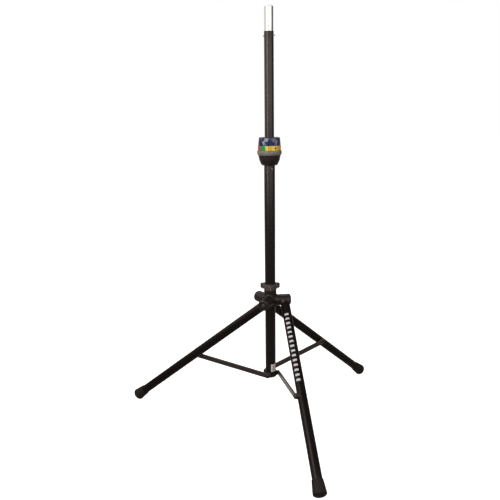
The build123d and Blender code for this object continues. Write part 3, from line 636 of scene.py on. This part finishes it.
def bar(points, foot, axis, radius, start_at, end_at, rim):
    """Distance to a round bar along an axis from a foot point: outside its rims the distance to a circle
    of the rim's radius, and elsewhere to its side or its end."""
    offset = points - foot
    along = offset @ axis
    out = np.linalg.norm(offset - along[..., None] * axis, axis=-1)
    x = out - radius + rim
    y = np.abs(along - (start_at + end_at) / 2) - (end_at - start_at) / 2 + rim
    return np.minimum(np.maximum(x, y), 0) + np.hypot(np.maximum(x, 0), np.maximum(y, 0)) - rim


def melt(first, second, size):
    """Union of two distances with a fillet: the less one, and a quarter of size less where equal."""
    near = np.maximum(size - np.abs(first - second), 0) / size
    return np.minimum(first, second) - near * near * size / 4


def carve(body, cutter, size):
    """The body less the cutter, with an edge rounded by size."""
    return -melt(-body, cutter, size)


def cast(name, field, low, high, step, place, sharp=40):
    """Skin of a casting where its distance field is nil, as surface nets: each grid cell that the skin
    crosses has one point, the mean of where the skin cuts the cell's edges, and each cut edge has a quad
    between the four cells round it. The points then move onto the skin down the field's slope."""
    counts = np.ceil((np.array(high) - low) / step).astype(int) + 1
    grid = np.stack(np.meshgrid(*[low[k] + step * np.arange(counts[k]) for k in range(3)], indexing="ij"),
                    axis=-1)
    value = field(grid)
    total = np.zeros((*(counts - 1), 3))
    hits = np.zeros(counts - 1)
    quads = []
    for k in range(3):
        unit = np.eye(3, dtype=int)
        ends = np.diff(value < 0, axis=k)
        foot = np.argwhere(ends)
        at_foot = value[tuple(foot.T)]
        at_head = value[tuple((foot + unit[k]).T)]
        cut = np.array(low) + step * (foot + (at_foot / (at_foot - at_head))[:, None] * unit[k])
        u, v = unit[(k + 1) % 3], unit[(k + 2) % 3]
        cells = [foot, foot - u, foot - u - v, foot - v]
        for cell in cells:
            np.add.at(total, tuple(cell.T), cut)
            np.add.at(hits, tuple(cell.T), 1)
        corner = np.stack([np.ravel_multi_index(tuple(cell.T), hits.shape) for cell in cells], axis=-1)
        quads.append(np.where((at_foot < 0)[:, None], corner, corner[:, ::-1]))
    used = np.flatnonzero(hits.ravel())
    points = total.reshape(-1, 3)[used] / hits.ravel()[used, None]
    number = np.zeros(hits.size, int)
    number[used] = np.arange(len(used))
    probe = step * 0.1
    for _ in range(3):
        here = field(points)
        rises = [(field(points + probe * e) - field(points - probe * e)) / (2 * probe) for e in np.eye(3)]
        slope = np.stack(rises, axis=-1)
        points = points - 0.9 * slope * (here / np.maximum(np.sum(slope**2, axis=-1), 0.1))[:, None]
    return solid(name, points, number[np.vstack(quads)].tolist(), place, sharp)


def hub_field(p):
    """Sleeve round the mast, melted into the three barrels, less the mast's bore."""
    axis_point = np.zeros(3)
    metal = bar(p, axis_point, UP, HUB_R, hub_low.z, hub_high.z, 0.0015)
    for side in SIDES:
        barrel = bar(p, UP * PIVOT_Z, ACROSS[side], BARREL_R, 0.0, STUB_END, 0.0012)
        metal = melt(metal, barrel, 0.009)
    return carve(metal, bar(p, axis_point, UP, HUB_BORE_R, 0.0, 2.0, 0.0), 0.0008)


def powder_coat(name, code, roughness):
    """Powder coat on a casting: satin black, the orange peel of flowed powder and a finer grit."""
    material, tree, shader = start(name, {"IOR": 1.55, "Specular Tint": WARM_TINT})
    place = add(tree, "TexCoord").outputs["Object"]
    # Orange peel waves are 1.5 to 3 mm long.
    peel = add(tree, "TexNoise", {"Vector": place}, {"Scale": 1 / 0.0025, "Detail": 2.0})
    grit = add(tree, "TexNoise", {"Vector": place}, {"Scale": 1 / 0.0007, "Detail": 2.0})
    dust = add(tree, "TexNoise", {"Vector": place},
               {"Scale": 1 / 0.025, "Detail": 5.0, "Roughness": 0.65})
    amount = add(tree, "MapRange", {"Value": dust}, {"From Min": 0.45, "From Max": 0.8, "To Max": 0.28})
    tone = add(tree, "MixRGB", {"Fac": amount}, {"Color1": linear(code), "Color2": linear("332c29")})
    rough = add(tree, "MapRange", {"Value": dust},
                {"To Min": roughness - 0.06, "To Max": roughness + 0.1})
    height = add(tree, "Math", {0: grit, 2: peel}, {1: 0.35}, operation="MULTIPLY_ADD")
    bump = add(tree, "Bump", {"Height": height}, {"Strength": 0.35, "Distance": 0.0003})
    wire(tree, shader, {"Base Color": tone, "Roughness": rough, "Normal": bump})
    return material


cast_black = powder_coat("powder_coated_casting", "151110", 0.4)
hub = cast("hub_casting", hub_field, (-0.05, -0.05, 0.5), (0.05, 0.05, 0.59), 0.0013, UPRIGHT)
fit(hub, cast_black, "hub", "black_casting", "sliding_hub")

# ---------------------------------------------------------------------------
# Lock ring: hand ring with three rounded lobes, moulded in brown-grey nylon.
# The front lobe has a well with a socket screw at its bottom.
# ---------------------------------------------------------------------------
lock_low, lock_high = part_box("lock_ring")
LOBE_HEADINGS = (-98.0, 22.0, 142.0)
LOBE_CENTRE = 0.0355
LOBE_R = 0.011
LOCK_R, LOCK_BORE_R = 0.0285, 0.0239
LOCK_MIDDLE = (lock_low.z + lock_high.z) / 2


def lock_field(p):
    """Ring melted into three upright lobes. Each lobe's top has a shallow thumb dish, and the front lobe
    a well; the mast's bore is cut last."""
    metal = bar(p, np.zeros(3), UP, LOCK_R, lock_low.z, lock_high.z, 0.005)
    for k, heading in enumerate(LOBE_HEADINGS):
        out = np.array([cos(radians(heading)), sin(radians(heading)), 0.0])
        lobe = bar(p, out * LOBE_CENTRE, UP, LOBE_R, lock_low.z + 0.0008, lock_high.z - 0.0008, 0.006)
        metal = melt(metal, lobe, 0.013)
        thumb = p - out * (LOBE_CENTRE + 0.001) - UP * (lock_high.z + 0.0075)
        metal = carve(metal, np.linalg.norm(thumb, axis=-1) - 0.0105, 0.002)
        if k == 0:
            well = bar(p, UP * LOCK_MIDDLE, out, 0.0055, LOBE_CENTRE + LOBE_R - 0.0035, 0.08, 0.0)
            metal = carve(metal, well, 0.0012)
    return carve(metal, bar(p, np.zeros(3), UP, LOCK_BORE_R, 0.0, 2.0, 0.0), 0.001)


brown_nylon, tree, shader = start("brown_grey_nylon", {"IOR": 1.53})
place = add(tree, "TexCoord").outputs["Object"]
mottle = add(tree, "TexNoise", {"Vector": place}, {"Scale": 1 / 0.008, "Detail": 5.0, "Roughness": 0.7})
tone = add(tree, "ValToRGB", {"Fac": mottle})
tone.color_ramp.elements[0].position, tone.color_ramp.elements[0].color = 0.3, linear("3a322e")
tone.color_ramp.elements[1].position, tone.color_ramp.elements[1].color = 0.7, linear("62574f")
grain = add(tree, "TexNoise", {"Vector": place}, {"Scale": 1 / 0.001, "Detail": 2.0})
bump = add(tree, "Bump", {"Height": grain}, {"Strength": 0.2, "Distance": 0.0002})
rough = add(tree, "MapRange", {"Value": mottle}, {"To Min": 0.3, "To Max": 0.5})
wire(tree, shader, {"Base Color": tone, "Roughness": rough, "Normal": bump})

lock = cast("lock_hand_ring", lock_field, (-0.052, -0.052, lock_low.z - 0.003),
            (0.052, 0.052, lock_high.z + 0.003), 0.0009, UPRIGHT)
fit(lock, brown_nylon, "hub_lock", "brown_plastic", "lock_ring")

SOCKET_SIDES = 6


def socket_screw(name, radius, dome, start_at, end_at, socket, depth, place):
    """Round head with a rounded rim and a hexagon socket. The socket's radius at turn a is its inner
    radius over the cosine of the turn from the nearest flat's middle."""
    rim = outline([(radius, start_at, 0), (radius, end_at, dome), (socket * 1.12, end_at, 0)])
    turn = np.linspace(0, 2 * pi, 8 * SOCKET_SIDES, endpoint=False)
    flat = cos(pi / SOCKET_SIDES) / np.cos((turn % (2 * pi / SOCKET_SIDES)) - pi / SOCKET_SIDES)
    radii = [r + 0 * turn for r, _ in rim] + [socket * flat, socket * flat * 0.98]
    heights = [h for _, h in rim] + [end_at - 0.0002, end_at - depth]
    rings = np.stack([polar(r, turn, h) for r, h in zip(radii, heights)])
    return shell(name, rings, place, sharp=30)


screw = socket_screw("lock_socket_screw", 0.0032, 0.0005, LOBE_CENTRE, LOBE_CENTRE + LOBE_R - 0.0012,
                     0.0019, 0.002, radial(LOBE_HEADINGS[0], LOCK_MIDDLE))
fit(screw, zinc, "hub_lock", "zinc_steel", "lock_screw")

# ---------------------------------------------------------------------------
# Leg pivots: a cast knuckle turns on a zinc-plated bolt in each barrel, with
# a black friction washer between. The bolt's button head sits in a recess.
# ---------------------------------------------------------------------------
LEG_OFFSET = 0.0618
KNUCKLE_START, KNUCKLE_END = 0.0396, 0.088
BOLT_HEAD_R = 0.007


def knuckle_field(p):
    """Barrel along x, its outer rim rounded by 8 mm, melted into the root that the leg's tube sits on,
    less the bolt head's recess. The leg runs along z from the pivot."""
    x_axis, z_axis = np.array([1.0, 0.0, 0.0]), UP
    start_at, end_at = KNUCKLE_START - LEG_OFFSET, KNUCKLE_END - LEG_OFFSET
    rim = np.where(p[..., 0] > (start_at + end_at) / 2, 0.008, 0.0012)
    barrel = bar(p, np.zeros(3), x_axis, BARREL_R, start_at, end_at, rim)
    root = bar(p, np.zeros(3), z_axis, SLIDE_R - 0.0003, 0.0, 0.045, 0.001)
    metal = melt(barrel, root, 0.008)
    # The root's fillet stays short of the inner face, where the hub's barrel turns against it.
    metal = np.maximum(metal, start_at - p[..., 0])
    recess = bar(p, np.zeros(3), x_axis, BOLT_HEAD_R + 0.001, end_at - 0.0038, end_at + 0.02, 0.0)
    return carve(metal, recess, 0.001)


washer_nylon = black_nylon("black_nylon_washer", "141212", 0.0008, 0.5)

# Zinc plate that has dulled: handling turns it grey and blotchy, in patches of 2 mm.
dull_zinc, tree, shader = start("dulled_zinc_steel", {"Metallic": 1.0})
place = add(tree, "TexCoord").outputs["Object"]
blotch = add(tree, "TexNoise", {"Vector": place}, {"Scale": 1 / 0.002, "Detail": 4.0})
tone = add(tree, "MixRGB", {"Fac": blotch}, {"Color1": linear("55504c"), "Color2": linear("8a8580")})
rough = add(tree, "MapRange", {"Value": blotch}, {"To Min": 0.36, "To Max": 0.54})
wire(tree, shader, {"Base Color": tone, "Roughness": rough})

LEG_SLOPE = radians(38.45)
LEG_FRAME, AXLE = {}, {}
for side in SIDES:
    across = ACROSS[side]
    outward = np.array([across[1], -across[0], 0.0])
    down_leg = outward * cos(LEG_SLOPE) - UP * sin(LEG_SLOPE)
    pivot = np.array(joints[f"leg_{side}_fold"]["pos_m"])
    LEG_FRAME[side] = (pivot, across, np.cross(down_leg, across), down_leg)
    AXLE[side] = (MAST + UP * PIVOT_Z, UP, np.cross(across, UP), across)
    knuckle = cast(f"leg_knuckle_{side}", knuckle_field, (-0.026, -0.028, -0.028), (0.03, 0.028, 0.05),
                   0.0013, LEG_FRAME[side])
    fit(knuckle, cast_black, f"leg_{side}", "black_casting", f"knuckle_{side}")
    bolt = socket_screw(f"pivot_bolt_{side}", BOLT_HEAD_R, 0.0026, KNUCKLE_END - 0.012,
                        KNUCKLE_END + 0.0008, 0.0032, 0.0024, AXLE[side])
    fit(bolt, dull_zinc, "hub", "zinc_steel", "pivot_bolts")
    washer_corners = [(0.006, STUB_END, 0.0001), (BARREL_R - 0.0012, STUB_END, 0.0003),
                      (BARREL_R - 0.0012, STUB_END + 0.0012, 0.0003), (0.006, STUB_END + 0.0012, 0.0001)]
    washer = turned(f"friction_washer_{side}", outline(washer_corners, closed=True, steps=3), AXLE[side],
                    wrap=True)
    fit(washer, washer_nylon, "hub", "black_plastic", "pivot_washers")

# ---------------------------------------------------------------------------
# Leg tubes: the sliding mast's stock again, coped to sit on the knuckle's
# barrel and held on its root by one blind rivet.
# ---------------------------------------------------------------------------
LEG_LENGTH = 0.8355
TUBE_END = LEG_LENGTH - 0.01405
RIVET_ALONG = 0.05


def leg_rings():
    """Tube wall round z. It starts where its own cylinder meets the knuckle's: at the square root of the
    barrel's radius squared less the square of how far the wall is from the barrel's plane."""
    turn = np.linspace(0, 2 * pi, 96, endpoint=False)
    seat = BARREL_R + 0.00005
    share = np.linspace(0, 1, 25)
    rows = []
    for radius, shares in ((SLIDE_R, share), (SLIDE_R - WALL, share[::-1])):
        foot = np.sqrt(seat**2 - (radius * np.sin(turn)) ** 2)
        height = foot + shares[:, None] * (TUBE_END - foot)
        rows.append(polar(radius, turn, height))
    return np.concatenate(rows)


# The legs get a shaded copy of the finish, a painted shade: its specular level is cut to 0.26 so that the
# key light's highlight hardly shows on them.
leg_anodised_shaded = black_anodised("black_anodised_leg_shaded", 0.15, 0.26)
rivet_head = outline([(0.004, 0.0, 0), (0.004, 0.0006, 0.0003), (0.0026, 0.0018, 0.0012),
                      (0.0006, 0.0019, 0)])
for side in SIDES:
    pivot, across, above, down_leg = LEG_FRAME[side]
    leg = shell(f"leg_tubing_{side}", leg_rings(), LEG_FRAME[side], wrap=True)
    fit(leg, leg_anodised_shaded, f"leg_{side}", "black_tube", f"leg_tube_{side}")
    seat = pivot + down_leg * RIVET_ALONG - across * (SLIDE_R - 0.0002)
    rivet = turned(f"leg_rivet_{side}", rivet_head, (seat, above, down_leg, -across), steps=32)
    fit(rivet, dull_zinc, f"leg_{side}", "zinc_steel", f"tube_rivet_{side}")

# ---------------------------------------------------------------------------
# Decoration on the front leg: a plain row of white bars, screen-printed round
# the side that faces out.
# ---------------------------------------------------------------------------
BARS = 15
BARS_FROM, BARS_TO = 0.088, 0.392
BAR_HALF_LENGTH = 0.0047
BAR_HALF_ANGLE = radians(26)
BAR_TURN = radians(112)
white_ink, tree, shader = start("white_screen_ink", {"Roughness": 0.5})
local = add(tree, "Attribute", attribute_name="local").outputs["Vector"]
# Ink breaks up over scuffs in specks of 1 to 2 mm.
specks = add(tree, "TexNoise", {"Vector": local}, {"Scale": 1 / 0.0018, "Detail": 5.0, "Roughness": 0.7})
thin = add(tree, "MapRange", {"Value": specks}, {"From Min": 0.56, "From Max": 0.72, "To Max": 0.55})
ink = add(tree, "MixRGB", {"Fac": thin}, {"Color1": linear("dedde2"), "Color2": linear("6b676a")})
wire(tree, shader, {"Base Color": ink})
for k in range(BARS):
    middle = BARS_FROM + (BARS_TO - BARS_FROM) * k / (BARS - 1)
    v, u = np.meshgrid(np.linspace(-1, 1, 3), np.linspace(-1, 1, 13), indexing="ij")
    bar_film = patch(f"leg_bar_{k + 1:02d}", SLIDE_R, BAR_TURN + u * BAR_HALF_ANGLE,
                     middle + v * BAR_HALF_LENGTH, LEG_FRAME["front"], INK)
    bar_film.data.materials.append(white_ink)
    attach(bar_film, "leg_front")

# ---------------------------------------------------------------------------
# Foot caps: rubber boots pressed over the legs' ends. Each is a tapered cup
# with a thick lip and a domed sole, worn flat where it stands on the floor.
# ---------------------------------------------------------------------------
CAP_START = LEG_LENGTH - 0.061
BOOT_R, BOOT_TOP_R = 0.026, 0.0215
DOME = 0.012


def boot_rings():
    """Boot turned about the leg: a lip, the taper and a quarter ellipse for the dome."""
    lip = outline([(SLIDE_R + 0.0001, CAP_START + 0.004, 0), (SLIDE_R + 0.0001, CAP_START, 0.0002),
                   (BOOT_TOP_R, CAP_START, 0.0012), (BOOT_TOP_R + 0.0002, CAP_START + 0.0065, 0.001),
                   (BOOT_TOP_R - 0.0005, CAP_START + 0.0075, 0)])
    height = np.linspace(CAP_START + 0.0082, LEG_LENGTH - DOME, 34)
    share = (height - CAP_START) / (LEG_LENGTH - DOME - CAP_START)
    radius = BOOT_TOP_R + (BOOT_R - BOOT_TOP_R) * share
    quarter = np.linspace(0, pi / 2, 14)[1:-1]
    dome = np.stack([BOOT_R * np.cos(quarter), LEG_LENGTH - DOME + DOME * np.sin(quarter)], axis=-1)
    profile = np.vstack([lip, np.stack([radius, height], axis=-1), dome])
    turn = np.linspace(0, 2 * pi, 96, endpoint=False)
    return polar(profile[:, :1], turn, profile[:, 1:])


# Black rubber: dull, with a fine bloom, dust low down and greyer scuffs at the sole.
rubber, tree, shader = start("moulded_black_rubber", {"IOR": 1.52, "Specular Tint": WARM_TINT})
place = add(tree, "TexCoord").outputs["Object"]
height_now = add(tree, "SeparateXYZ", {"Vector": place}).outputs["Z"]
bloom = add(tree, "TexNoise", {"Vector": place}, {"Scale": 1 / 0.01, "Detail": 6.0, "Roughness": 0.7})
low_down = add(tree, "MapRange", {"Value": height_now},
               {"From Min": 0.03, "From Max": 0.0, "To Max": 1.0})
dusty = add(tree, "Math", {0: low_down, 1: bloom}, operation="MULTIPLY")
tone = add(tree, "MixRGB", {"Fac": dusty}, {"Color1": linear("141110"), "Color2": linear("332e2b")})
rough = add(tree, "MapRange", {"Value": bloom}, {"To Min": 0.58, "To Max": 0.85})
pores = add(tree, "TexNoise", {"Vector": place}, {"Scale": 1 / 0.0012, "Detail": 3.0})
bump = add(tree, "Bump", {"Height": pores}, {"Strength": 0.3, "Distance": 0.0003})
wire(tree, shader, {"Base Color": tone, "Roughness": rough, "Normal": bump})

for side in SIDES:
    pivot, across, above, down_leg = LEG_FRAME[side]
    rings = boot_rings()
    # The sole is flat on the floor: no point is lower, along the leg's own upright, than the floor there.
    floor_y = (-pivot[2] - rings[..., 2] * down_leg[2]) / above[2]
    rings[..., 1] = np.maximum(rings[..., 1], floor_y)
    boot = shell(f"rubber_boot_{side}", rings, LEG_FRAME[side], sharp=50)
    fit(boot, rubber, f"leg_{side}", "rubber", f"foot_cap_{side}")

# ---------------------------------------------------------------------------
# Base hub: moulded cup on the foot of the mast, with three short arms that
# the braces turn on, and a domed black pin in the end of each arm.
# ---------------------------------------------------------------------------
base_low, base_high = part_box("base_hub")
BRACE_Z = joints["brace_front_fold"]["pos_m"][2]
BRACE_OFFSET = 0.0348
BRACE_HALF = 0.003
FACE_GAP = 0.0004


def base_field(p):
    """Cup, rounded below and melted into its arms, less the seat of the mast's tube."""
    cup = bar(p, np.zeros(3), UP, 0.0252, base_low.z, base_low.z + 0.05, 0.006)
    cup = np.maximum(cup, p[..., 2] - base_high.z)
    for side in SIDES:
        arm = bar(p, UP * BRACE_Z, ACROSS[side], 0.0095, 0.0, BRACE_OFFSET - BRACE_HALF - FACE_GAP,
                  0.0006)
        cup = melt(cup, arm, 0.007)
    return carve(cup, bar(p, np.zeros(3), UP, MAST_R + 0.00005, base_low.z + 0.005, 2.0, 0.0), 0.0008)


base_nylon = black_nylon("black_nylon_base", "181615", 0.001, 0.45)
base = cast("base_cup", base_field, (-0.037, -0.037, base_low.z - 0.003),
            (0.037, 0.037, base_high.z + 0.003), 0.0009, UPRIGHT)
fit(base, base_nylon, "mast", "black_plastic", "base_hub")

# Black oxide steel: dark, slightly blue-brown metal with a low sheen.
black_oxide, tree, shader = start("black_oxide_steel", {"Metallic": 1.0})
place = add(tree, "TexCoord").outputs["Object"]
stain = add(tree, "TexNoise", {"Vector": place}, {"Scale": 1 / 0.004, "Detail": 4.0})
tone = add(tree, "ValToRGB", {"Fac": stain})
tone.color_ramp.elements[0].color = linear("2b2826")
tone.color_ramp.elements[1].color = linear("5a5450")
rough = add(tree, "MapRange", {"Value": stain}, {"To Min": 0.34, "To Max": 0.5})
wire(tree, shader, {"Base Color": tone, "Roughness": rough})

PIN_HEAD_R, PIN_HEAD_HEIGHT = 0.0075, 0.003


def domed_pin(root, seat):
    """Profile of a shank from root to a head that sits at seat: a short wall and a dome."""
    return outline([(0.004, root, 0), (0.004, seat, 0), (PIN_HEAD_R, seat, 0.0003),
                    (PIN_HEAD_R, seat + 0.0012, 0.0006), (0.0035, seat + PIN_HEAD_HEIGHT, 0.003),
                    (0.0008, seat + PIN_HEAD_HEIGHT, 0)])


pin_from = BRACE_OFFSET + BRACE_HALF
for side in SIDES:
    across = ACROSS[side]
    shank = (MAST + UP * BRACE_Z, UP, np.cross(across, UP), across)
    profile = domed_pin(pin_from - 0.005, pin_from + FACE_GAP)
    pin = turned(f"brace_pivot_pin_{side}", profile, shank, steps=48)
    fit(pin, black_oxide, "mast", "black_steel", "base_pins")

# ---------------------------------------------------------------------------
# Braces: flat steel bars with round ends, stamped, tumbled and painted satin
# black-brown. Each has a domed pin at its outer end, against the leg's boss.
# ---------------------------------------------------------------------------
BRACE_ON_LEG = 0.452
BRACE_END_R = 0.011
BRACE_EDGE = 0.0009
BOSS_R = 0.012


def brace_rings(length):
    """Stack of stadium outlines across x, in the bar's thickness: the outline is inset at both faces by
    the rounding of the stamped edge."""
    turn = np.linspace(0, pi, 25)
    lean = np.linspace(0, pi / 2, 5)
    inset = BRACE_EDGE * (1 - np.sin(lean))
    level = BRACE_HALF - BRACE_EDGE + BRACE_EDGE * np.cos(lean)
    x = np.concatenate([-level, level[::-1]])
    radius = BRACE_END_R - np.concatenate([inset, inset[::-1]])[:, None]
    side_run = np.linspace(0, length, 30)[1:-1]
    far = np.stack([radius * np.cos(turn), length + radius * np.sin(turn)], axis=-1)
    near = np.stack([-radius * np.cos(turn), -radius * np.sin(turn)], axis=-1)
    back = np.stack([-radius + 0 * side_run, side_run[::-1] + 0 * radius], axis=-1)
    out = np.stack([radius + 0 * side_run, side_run + 0 * radius], axis=-1)
    loop = np.concatenate([far, back, near, out], axis=1)
    return np.concatenate([x[:, None, None] + 0 * loop[..., :1], loop], axis=-1)


# Satin enamel: it flows over the bar, so it is smoother than powder, with rub marks along the faces.
brace_paint, tree, shader = start("satin_enamel_bar",
                                  {"IOR": 1.55, "Coat Weight": 1.0, "Coat IOR": 1.5,
                                   "Coat Roughness": 0.2, "Specular Tint": WARM_TINT})
local = add(tree, "Attribute", attribute_name="local").outputs["Vector"]
drawn = add(tree, "Mapping", {"Vector": local}, {"Scale": (1 / 0.003, 1 / 0.003, 1 / 0.08)})
rub = add(tree, "TexNoise", {"Vector": drawn}, {"Scale": 1.0, "Detail": 5.0, "Roughness": 0.65})
tone = add(tree, "ValToRGB", {"Fac": rub})
tone.color_ramp.elements[0].position, tone.color_ramp.elements[0].color = 0.35, linear("241e1b")
tone.color_ramp.elements[1].position, tone.color_ramp.elements[1].color = 0.75, linear("3d352f")
rough = add(tree, "MapRange", {"Value": rub}, {"To Min": 0.3, "To Max": 0.44})
bump = add(tree, "Bump", {"Height": rub}, {"Strength": 0.15, "Distance": 0.0002})
wire(tree, shader, {"Base Color": tone, "Roughness": rough, "Normal": bump})

boss_top = LEG_OFFSET - BRACE_OFFSET - BRACE_HALF - FACE_GAP
for side in SIDES:
    pivot, across, above, down_leg = LEG_FRAME[side]
    inner = np.array(joints[f"brace_{side}_fold"]["pos_m"])
    outer = pivot + down_leg * BRACE_ON_LEG - across * (LEG_OFFSET - BRACE_OFFSET)
    along = outer - inner
    length = np.linalg.norm(along)
    along = along / length
    brace = shell(f"brace_strut_{side}", brace_rings(length),
                  (inner, across, np.cross(along, across), along), sharp=30)
    fit(brace, brace_paint, f"brace_{side}", "brace_paint", f"brace_bar_{side}")

    pin = turned(f"brace_outer_pin_{side}", domed_pin(-0.004, BRACE_HALF),
                 (outer, above, down_leg, -across), steps=48)
    fit(pin, black_oxide, f"brace_{side}", "black_steel", f"brace_pin_{side}")

    # The boss is a short round pillar whose foot follows the tube: depth to the tube's side is the square
    # root of its radius squared less the offset squared.
    turn = np.linspace(0, 2 * pi, 64, endpoint=False)
    steps = [(BOSS_R - 0.0012, boss_top, 0.0), (BOSS_R - 0.0003, boss_top - 0.0004, 0.0),
             (BOSS_R, boss_top - 0.0012, 0.0), (BOSS_R, 0.0, 0.0011), (BOSS_R + 0.0012, 0.0, 0.0002),
             (BOSS_R + 0.0014, 0.0, -0.0008)]
    rows = []
    for radius, height, lift in steps:
        foot = np.sqrt(SLIDE_R**2 - (radius * np.cos(turn)) ** 2) + lift
        rise = np.full_like(turn, height) if height else foot
        rows.append(polar(radius, turn, np.maximum(rise, foot)))
    on_leg = pivot + down_leg * BRACE_ON_LEG
    boss = shell(f"brace_pillar_{side}", np.array(rows), (on_leg, above, down_leg, -across), sharp=40)
    fit(boss, base_nylon, f"leg_{side}", "black_plastic", f"brace_boss_{side}")

# ---------------------------------------------------------------------------
# Rating label: white vinyl sticker bent round the foot of the mast, left
# blank but for a faint grey panel.
# ---------------------------------------------------------------------------
LABEL_HEADING = radians(-65)
LABEL_HALF_ANGLE = radians(31)
VINYL = 0.0003
label_low, label_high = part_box("blank_label")
vinyl, tree, shader = start("blank_white_vinyl", {"Roughness": 0.42, "IOR": 1.5})
place = add(tree, "TexCoord").outputs["Object"]
middle = MAST + UP * (label_low.z + label_high.z) / 2
centred = add(tree, "Mapping", {"Vector": place}, {"Location": tuple(-middle)})
turned_to = add(tree, "Mapping", {"Vector": centred}, {"Rotation": (0, 0, -LABEL_HEADING)})
spread = add(tree, "SeparateXYZ", {"Vector": turned_to})
# The panel is 8 mm wide and 20 mm tall; its edge is soft by a millimetre.
wide = add(tree, "Math", {0: spread.outputs["Y"]}, operation="ABSOLUTE")
tall = add(tree, "Math", {0: spread.outputs["Z"]}, operation="ABSOLUTE")
in_width = add(tree, "MapRange", {"Value": wide}, {"From Min": 0.0045, "From Max": 0.0035})
in_height = add(tree, "MapRange", {"Value": tall}, {"From Min": 0.0105, "From Max": 0.0095})
panel = add(tree, "Math", {0: in_width, 1: in_height}, operation="MULTIPLY")
age = add(tree, "TexNoise", {"Vector": place}, {"Scale": 1 / 0.006, "Detail": 4.0})
faint = add(tree, "Math", {0: panel, 1: age}, operation="MULTIPLY")
tone = add(tree, "MixRGB", {"Fac": faint}, {"Color1": linear("efe9df"), "Color2": linear("6e6557")})
wire(tree, shader, {"Base Color": tone})
v, u = np.meshgrid(np.linspace(label_low.z, label_high.z, 5), np.linspace(-1, 1, 25), indexing="ij")
label = patch("foot_label", MAST_R, LABEL_HEADING + u * LABEL_HALF_ANGLE, v, UPRIGHT, VINYL)
fit(label, vinyl, "mast", "label_white", "blank_label")

# ---------------------------------------------------------------------------
# Working parts inside the collar and hub: the carried-over nodes keep their
# shape. Bushes and collet are natural acetal, a waxy off-white plastic.
# ---------------------------------------------------------------------------
acetal, tree, shader = start("natural_acetal",
                             {"IOR": 1.48, "Subsurface Weight": 0.1, "Subsurface Scale": 0.002})
place = add(tree, "TexCoord").outputs["Object"]
wax = add(tree, "TexNoise", {"Vector": place}, {"Scale": 1 / 0.006, "Detail": 4.0})
tone = add(tree, "MixRGB", {"Fac": wax}, {"Color1": linear("cfcabd"), "Color2": linear("e6e2d8")})
rough = add(tree, "MapRange", {"Value": wax}, {"To Min": 0.38, "To Max": 0.52})
wire(tree, shader, {"Base Color": tone, "Roughness": rough})
inner_nylon = black_nylon("black_nylon_inner", "1a1817", 0.001, 0.5)
INNER = {
    "guide_bush": acetal,
    "clamp_collet": acetal,
    "hub_liner": acetal,
    "collar_core": inner_nylon,
    "collar_drum": inner_nylon,
    "lower_glide": inner_nylon,
    "cam_ring": inner_nylon,
    "thrust_washer": zinc,
}
for name, material in INNER.items():
    frame["nodes"][name].data.materials.clear()
    frame["nodes"][name].data.materials.append(material)

bpy.context.view_layer.update()
